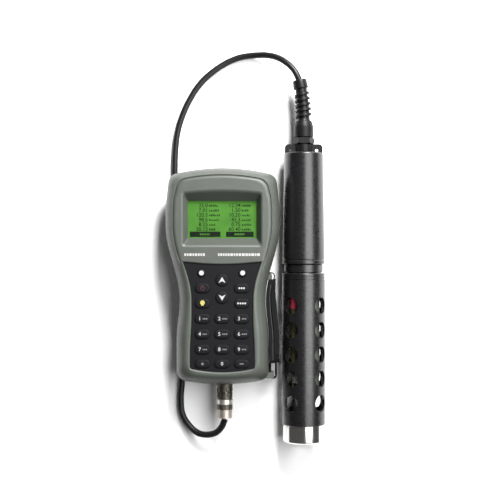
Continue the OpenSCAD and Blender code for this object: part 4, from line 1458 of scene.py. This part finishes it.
# ---------------------------------------------------------------- probe
@dataclass
class ProbeTop:
    """Strain relief, gland and cap at the probe's upper end."""

    palette: Palette
    parts: dict[str, Piece]
    lead_start: Vector
    rib_pitch: float = 5.3
    rib_from: float = 1.4
    rib_to: float = 30.6
    sleeve_r: float = 6.5
    axis: Vector = field(init=False)
    nut_high: float = field(init=False)

    def __post_init__(self) -> None:
        """Reads the probe's axis and the nut's end from the frame."""
        nut = Span.of("gland_nut")
        self.axis = nut.centre
        self.nut_high = nut.high.y

    def _frame_at(self, distance: float) -> tuple[Vector, Vector, Vector]:
        """Middle, sideways and forward directions of the leaning sleeve.

        Args:
            distance: Distance from the nut.

        Returns:
            The middle of the section, the direction to its right and the direction along it.
        """
        drop = self.axis.x - self.lead_start.x
        length = self.lead_start.y - self.nut_high
        share = distance / length
        lean = math.atan(2 * drop * share / length)
        middle = Vector((self.axis.x - drop * share**2, self.nut_high + distance, self.axis.z))
        side = Vector((math.cos(lean), math.sin(lean), 0))
        return middle, side, Vector((-side.y, side.x, 0))

    def build_relief(self) -> None:
        """Makes the sleeve with its spiral rib and plain tip."""
        past_lead_start, sides = 1.2, 40
        length = self.lead_start.y - self.nut_high + past_lead_start
        profile = [(0, self.sleeve_r + 0.4), (1.0, self.sleeve_r)]
        profile += [(d, self.sleeve_r - 0.02 * d) for d in range(3, int(self.rib_to), 3)]
        profile += [(length - 9.6, 6.0), (length - 9.2, 7.3), (length - 8.4, 7.7), (length - 2.6, 7.3)]
        profile += [(length - 1.4 * (1 - math.sin(a)), 5.5 + 1.7 * math.cos(a)) for a in (0.2, 0.6, 1.0, 1.5)]
        profile += [(length, 3.4)]
        rings = []
        for distance, radius in profile:
            middle, side, _ = self._frame_at(distance)
            rings.append(circle(middle, radius, side, UP, sides))
        shape = Shape().loft(rings)
        steps_per_turn = 28
        count = int((self.rib_to - self.rib_from) / self.rib_pitch * steps_per_turn)
        rib = []
        for step in range(count + 1):
            distance = self.rib_from + self.rib_pitch * step / steps_per_turn
            middle, side, ahead = self._frame_at(distance)
            turn = -FULL_TURN * step / steps_per_turn
            out = math.cos(turn) * side + math.sin(turn) * UP
            fade = min(1.0, step / 4, (count - step) / 8)
            crest = self.sleeve_r - 0.4 + (2.5 - 0.03 * distance) * fade
            rib.append([
                middle + out * radius + ahead * shift
                for radius, shift in ((5.2, -1.9), (crest - 0.35, -1.45), (crest, -0.9), (crest, 0.9),
                                      (crest - 0.35, 1.45), (5.2, 1.9))])
        shape.loft(rib)
        piece = shape.to_object("strain_relief_sleeve")
        settle(piece, self.palette.pick("relief_rubber"), SET, ["strain_relief"], 50)

    def build_gland(self) -> None:
        """Makes the dome nut and the hexagon body."""
        nut = Span.of("gland_nut")
        low, high = nut.low.y, nut.high.y
        side = [(10, low + 0.5), (10, low + 9.5), (9.7, low + 12), (9.0, low + 14.6), (8.5, high - 0.8)]
        profile = [(3.9, low), (9.5, low), *smooth_path(side), (8.0, high), (3.9, high)]
        dome = Shape().turned(self.axis, profile, closed=True).to_object("dome_nut")
        settle(dome, self.palette.pick("gland_plastic"), SET, ["gland_nut"])
        body = Span.of("gland_body")
        across = body.size.x / 2
        hex_low, hex_high = nut.low.y - 6.8, nut.low.y - 0.4
        flats = Shape().turned(self.axis, [(across, hex_low), (across, hex_high)], sides=6)
        hexagon = flats.to_object("gland_hexagon")
        chamfer = Shape().turned(self.axis, [
            (9.6, hex_low - 0.01), (across + 0.05, hex_low + 1.1), (across + 0.05, hex_high - 1.1),
            (9.6, hex_high + 0.01)])
        carve(hexagon, chamfer, "INTERSECT")
        stem = Shape().turned(self.axis, [(7.2, body.low.y), (7.2, hex_low + 1)])
        carve(hexagon, stem, "UNION")
        settle(hexagon, self.palette.pick("gland_plastic"), SET, ["gland_body"], 28)

    def build_cap(self) -> None:
        """Makes the cap with its two tether ears."""
        cap = Span.of("probe_cap")
        tube = Span.of("probe_tube")
        base, top = tube.high.y, cap.high.y
        boss = Shape().turned(self.axis, [
            (7.3, cap.low.y), (16.8, cap.low.y), (16.8, base), (9.4, base + 0.01), (8.9, base + 0.5),
            (8.8, top - 0.6), (8.3, top), (7.3, top)], closed=True).to_object("probe_top_cap")
        thick, foot, half = 6.0, 5.0, cap.size.x / 2
        ears = Shape()
        for way in (-1, 1):
            for inset, low, high in ((0.0, -thick / 2 + 0.6, thick / 2 - 0.6), (0.6, -thick / 2, thick / 2)):
                outline = [(way * foot, base), (way * (half - inset), base)]
                rounding = arc(half - 4, top - base - 4, 4 - inset, 0, 90, 8)
                outline += [(way * x, base + y) for x, y in rounding]
                outline += [(way * foot, top - inset)]
                ears.prism([(self.axis.x + x, y) for x, y in outline], self.axis.z + low, self.axis.z + high)
        carve(boss, ears, "UNION")
        holes = Shape()
        hole_x, hole_y, hole_r = 13.2, base + 2.6, 1.6
        for way in (-1, 1):
            place = Vector((self.axis.x + way * hole_x, hole_y, 0))
            for low, high, extra in ((-5, 5, 0.0), (2.6, 3.4, 0.5), (-3.4, -2.6, 0.5)):
                holes.post(place, hole_r + extra, self.axis.z + low, self.axis.z + high)
        carve(boss, holes)
        settle(boss, self.palette.pick("gland_plastic"), SET, ["probe_cap"])

    def build(self) -> None:
        """Makes the upper end."""
        self.build_relief()
        self.build_gland()
        self.build_cap()
        self.palette.dress(self.parts["gland_seal"], "seal_rubber")


@dataclass
class ProbeBody:
    """Body tube, neck with the sensor block, and what is inside."""

    palette: Palette
    parts: dict[str, Piece]
    axis: Vector = field(init=False)

    def __post_init__(self) -> None:
        """Reads the probe's axis from the frame."""
        self.axis = Span.of("probe_tube").centre

    def build(self) -> None:
        """Makes the tube and the block and dresses the inner pieces."""
        tube = Span.of("probe_tube")
        low, high = tube.low.y, tube.high.y
        profile = [(17.0, low), (21.0, low), (21.4, low + 0.2), (21.6, low + 0.6), (21.6, low + 3.4)]
        profile += [(21.35, low + 3.7), (21.1, low + 4.0), (21.1, low + 4.5)]
        profile += [(21.35, low + 4.8), (21.6, low + 5.2)]
        shoulder = (18.4 + 1.6, high - 1.6)
        profile += [
            (21.6 + (shoulder[0] - 21.6) * t, low + 5.2 + (shoulder[1] - low - 5.2) * t)
            for t in (0.25, 0.5, 0.75)]
        profile += arc(18.4, high - 1.6, 1.6, 2, 90, 8)
        profile += [(17.0, high)]
        body = Shape().turned(self.axis, profile, closed=True, sides=128).to_object("body_tube")
        settle(body, self.palette.pick("probe_plastic"), SET, ["probe_tube"])
        block = Span.of("sensor_block")
        seat = Span.of("shield").high.y
        neck = Shape().turned(self.axis, [
            (0.0, block.low.y), (16.4, block.low.y), (17, block.low.y + 0.6), (17, seat - 9),
            (18.6, seat - 8.4), (18.6, seat - 0.6), (18.2, seat), (18.2, seat + 0.6), (19.5, seat + 0.8),
            (19.8, seat + 1.1), (19.8, low - 0.8), (19.5, low - 0.5), (18.6, low), (16.9, low),
            (16.9, block.high.y), (0.0, block.high.y)], sides=128).to_object("neck_block")
        settle(neck, self.palette.pick("probe_plastic"), SET, ["sensor_block"])
        for node, finish in {"probe_board": "board", "neck_seals": "seal_rubber"}.items():
            self.palette.dress(self.parts[node], finish)


@dataclass
class Sensors:
    """The three sensors and the temperature pin that stand inside the shield."""

    palette: Palette

    def _place(self, shape: Shape, node: str, finishes: Sequence[str], name: str) -> None:
        """Settles one sensor in place of its node."""
        piece = shape.use(0).to_object(name)
        settle(piece, self.palette.pick(*finishes), SET, [node])

    def build(self) -> None:
        """Makes the sensors."""
        acid = Span.of("ph_sensor")
        top, low = Span.of("sensor_block").low.y, acid.low.y
        shape = Shape().turned(acid.centre, [
            (5, top + 11.5), (5, top), (6.1, top - 0.1), (6.3, top - 0.5), (6.3, top - 4), (5.9, top - 4.3),
            (5.9, top - 5.2), (6.3, top - 5.5), (6.3, top - 21.4), (5.9, top - 22)][::-1], sides=64)
        shape.use(1).turned(acid.centre, [
            (0, top - 21), (5.8, top - 21.5), (5.8, low + 15), (5.3, low + 14), (0, low + 14)], sides=64)
        shape.use(2).turned(acid.centre, [(0, low + 14.5), (3, low + 14.2)]
                            + arc(0, low + 8, 4.6, 70, -90, 10), sides=48)
        shape.use(1)
        for k in range(4):
            turn = FULL_TURN * (k + 0.5) / 4
            foot = acid.centre + 5.0 * Vector((math.cos(turn), 0, math.sin(turn)))
            rod = [(0.7, low + 15), (0.9, low + 10), (0.9, low + 0.8), (0.5, low + 0.2)]
            shape.turned(foot, rod, sides=16)
        finishes = ("acidity_sensor", "amber_body", "pale_membrane")
        self._place(shape, "ph_sensor", finishes, "acidity_probe")
        oxygen = Span.of("oxygen_sensor")
        low = oxygen.low.y
        shape = Shape().turned(oxygen.centre, [
            (5, top + 11.5), (5, top), (6.1, top - 0.1), (6.3, top - 0.5), (6.3, low + 13), (5.9, low + 12.4),
            (5.7, low + 12), (5.7, low + 0.8), (5.2, low + 0.3)], sides=64)
        for k in range(6):
            y = low + 3 + k * 1.3
            rib = [(5.6, y), (5.95, y + 0.25), (5.95, y + 0.6), (5.6, y + 0.85)]
            shape.turned(oxygen.centre, rib, True, 48)
        shape.use(1).turned(oxygen.centre, [(4.4, low + 0.35), (4.2, low), (0, low)], sides=48)
        finishes = ("oxygen_sensor", "pale_membrane")
        self._place(shape, "oxygen_sensor", finishes, "oxygen_probe")
        salt = Span.of("conductivity_sensor")
        low = salt.low.y
        shape = Shape().turned(salt.centre, [
            (2.4, top + 11), (5, top + 11.5), (5, top), (6.1, top - 0.1), (6.3, top - 0.5), (6.3, low + 36),
            (6.0, low + 35.7), (6.0, low + 35.0), (6.3, low + 34.7), (6.3, low + 0.6), (5.7, low), (2.7, low),
            (2.4, low + 0.4)], closed=True, sides=64)
        piece = shape.to_object("conductivity_probe")
        port = Shape().block(
            Vector((salt.low.x - 1, low + 26, salt.centre.z - 1.2)),
            Vector((salt.high.x + 1, low + 30, salt.centre.z + 1.2)))
        carve(piece, port)
        finish = self.palette.pick("conductivity_sensor")
        settle(piece, finish, SET, ["conductivity_sensor"])
        pin = Span.of("temperature_pin")
        shape = Shape().turned(pin.centre, [(1.6, pin.high.y), (1.6, pin.low.y + 1.6)]
                               + arc(0, pin.low.y + 1.6, 1.6, -15, -90, 6), sides=32)
        self._place(shape, "temperature_pin", ("weight_steel",), "temperature_needle")


@dataclass
class Guard:
    """The shield with its flow holes, and the end weight screwed into it."""

    palette: Palette
    rows: int = 5
    first_row: float = 22.7
    row_pitch: float = 24.6
    first_turn: float = 50.0
    hole_r: float = 8.0
    bore_r: float = 19.3

    def build_shield(self) -> None:
        """Makes the shield."""
        span = Span.of("shield")
        low, high, radius, axis = span.low.y, span.high.y, span.size.x / 2, span.centre
        lip = radius - 0.55
        profile = [(self.bore_r, low), (radius - 0.3, low), (radius, low + 0.3)]
        profile += [(radius, low + (high - 7.0 - low) * share) for share in (0.25, 0.5, 0.75, 1.0)]
        for groove in (high - 6.4, high - 3.2):
            profile += [(radius, groove - 0.5), (lip, groove - 0.3)]
            profile += [(lip, groove + 0.3), (radius, groove + 0.5)]
        profile += arc(radius - 1.2, high - 1.2, 1.2, 0, 90, 6)
        profile += [(self.bore_r, high)]
        piece = Shape().turned(axis, profile, closed=True, sides=144).to_object("slotted_shield")
        holes = Shape()
        sides, flare = 44, 0.9
        for row in range(self.rows):
            y = low + self.first_row + row * self.row_pitch
            for column in range(4):
                turn = math.radians(self.first_turn + 90 * column)
                out = Vector((math.sin(turn), 0, math.cos(turn)))
                side = Vector((math.cos(turn), 0, -math.sin(turn)))
                middle = Vector((axis.x, y, axis.z))
                steps = ((13.0, 0.0), (radius - 1.6, 0.0), (radius + 2.0, flare))
                holes.loft([
                    circle(middle + out * distance, self.hole_r + extra, side, Vector((0, 1, 0)), sides)
                    for distance, extra in steps])
        carve(piece, holes)
        settle(piece, self.palette.pick("probe_plastic"), SHIELD, ["shield"], 32)

    def build_weight(self) -> None:
        """Makes the end weight."""
        span, shield = Span.of("end_weight"), Span.of("shield")
        low, seat, radius, bore = span.low.y, shield.low.y, span.size.x / 2, 14.0
        profile = [(bore, low + 1.2), (bore + 1.2, low), (radius - 1.5, low), (radius - 0.1, low + 1.3)]
        profile += [(radius, low + 1.6), (radius, seat - 1.6), (radius - 0.35, seat - 1.3)]
        profile += [(radius - 0.35, seat - 0.9), (radius, seat - 0.6), (radius, seat - 0.02)]
        profile += [(self.bore_r - 0.15, seat - 0.02), (self.bore_r - 0.15, seat + 5.6)]
        profile += [(self.bore_r - 0.6, seat + 6), (bore, seat + 6)]
        piece = Shape().turned(span.centre, profile, closed=True, sides=144).to_object("steel_end_weight")
        settle(piece, self.palette.pick("weight_steel"), SHIELD, ["end_weight"], 30)

    def build(self) -> None:
        """Makes the shield and its weight."""
        self.build_shield()
        self.build_weight()


def main() -> None:
    """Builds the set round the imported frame."""
    logging.basicConfig(level=logging.INFO, format="%(message)s")
    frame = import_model()
    parts = frame["nodes"]
    palette = Palette().make()
    studio = Studio()
    studio.place_camera()
    connector = Connector(palette, parts)
    lead = Lead(palette)
    lead.build(connector.build())
    case = MeterCase(palette, parts)
    case.build()
    Display(palette, parts).build()
    Keypad(palette, case).build([body for body in frame["bodies"] if body.startswith("key_")])
    HandStrap(palette, case).build()
    ProbeTop(palette, parts, Vector(lead.route[0])).build()
    ProbeBody(palette, parts).build()
    Sensors(palette).build()
    Guard(palette).build()
    studio.light()
    studio.lay_floor()


if __name__ == "__main__":
    main()
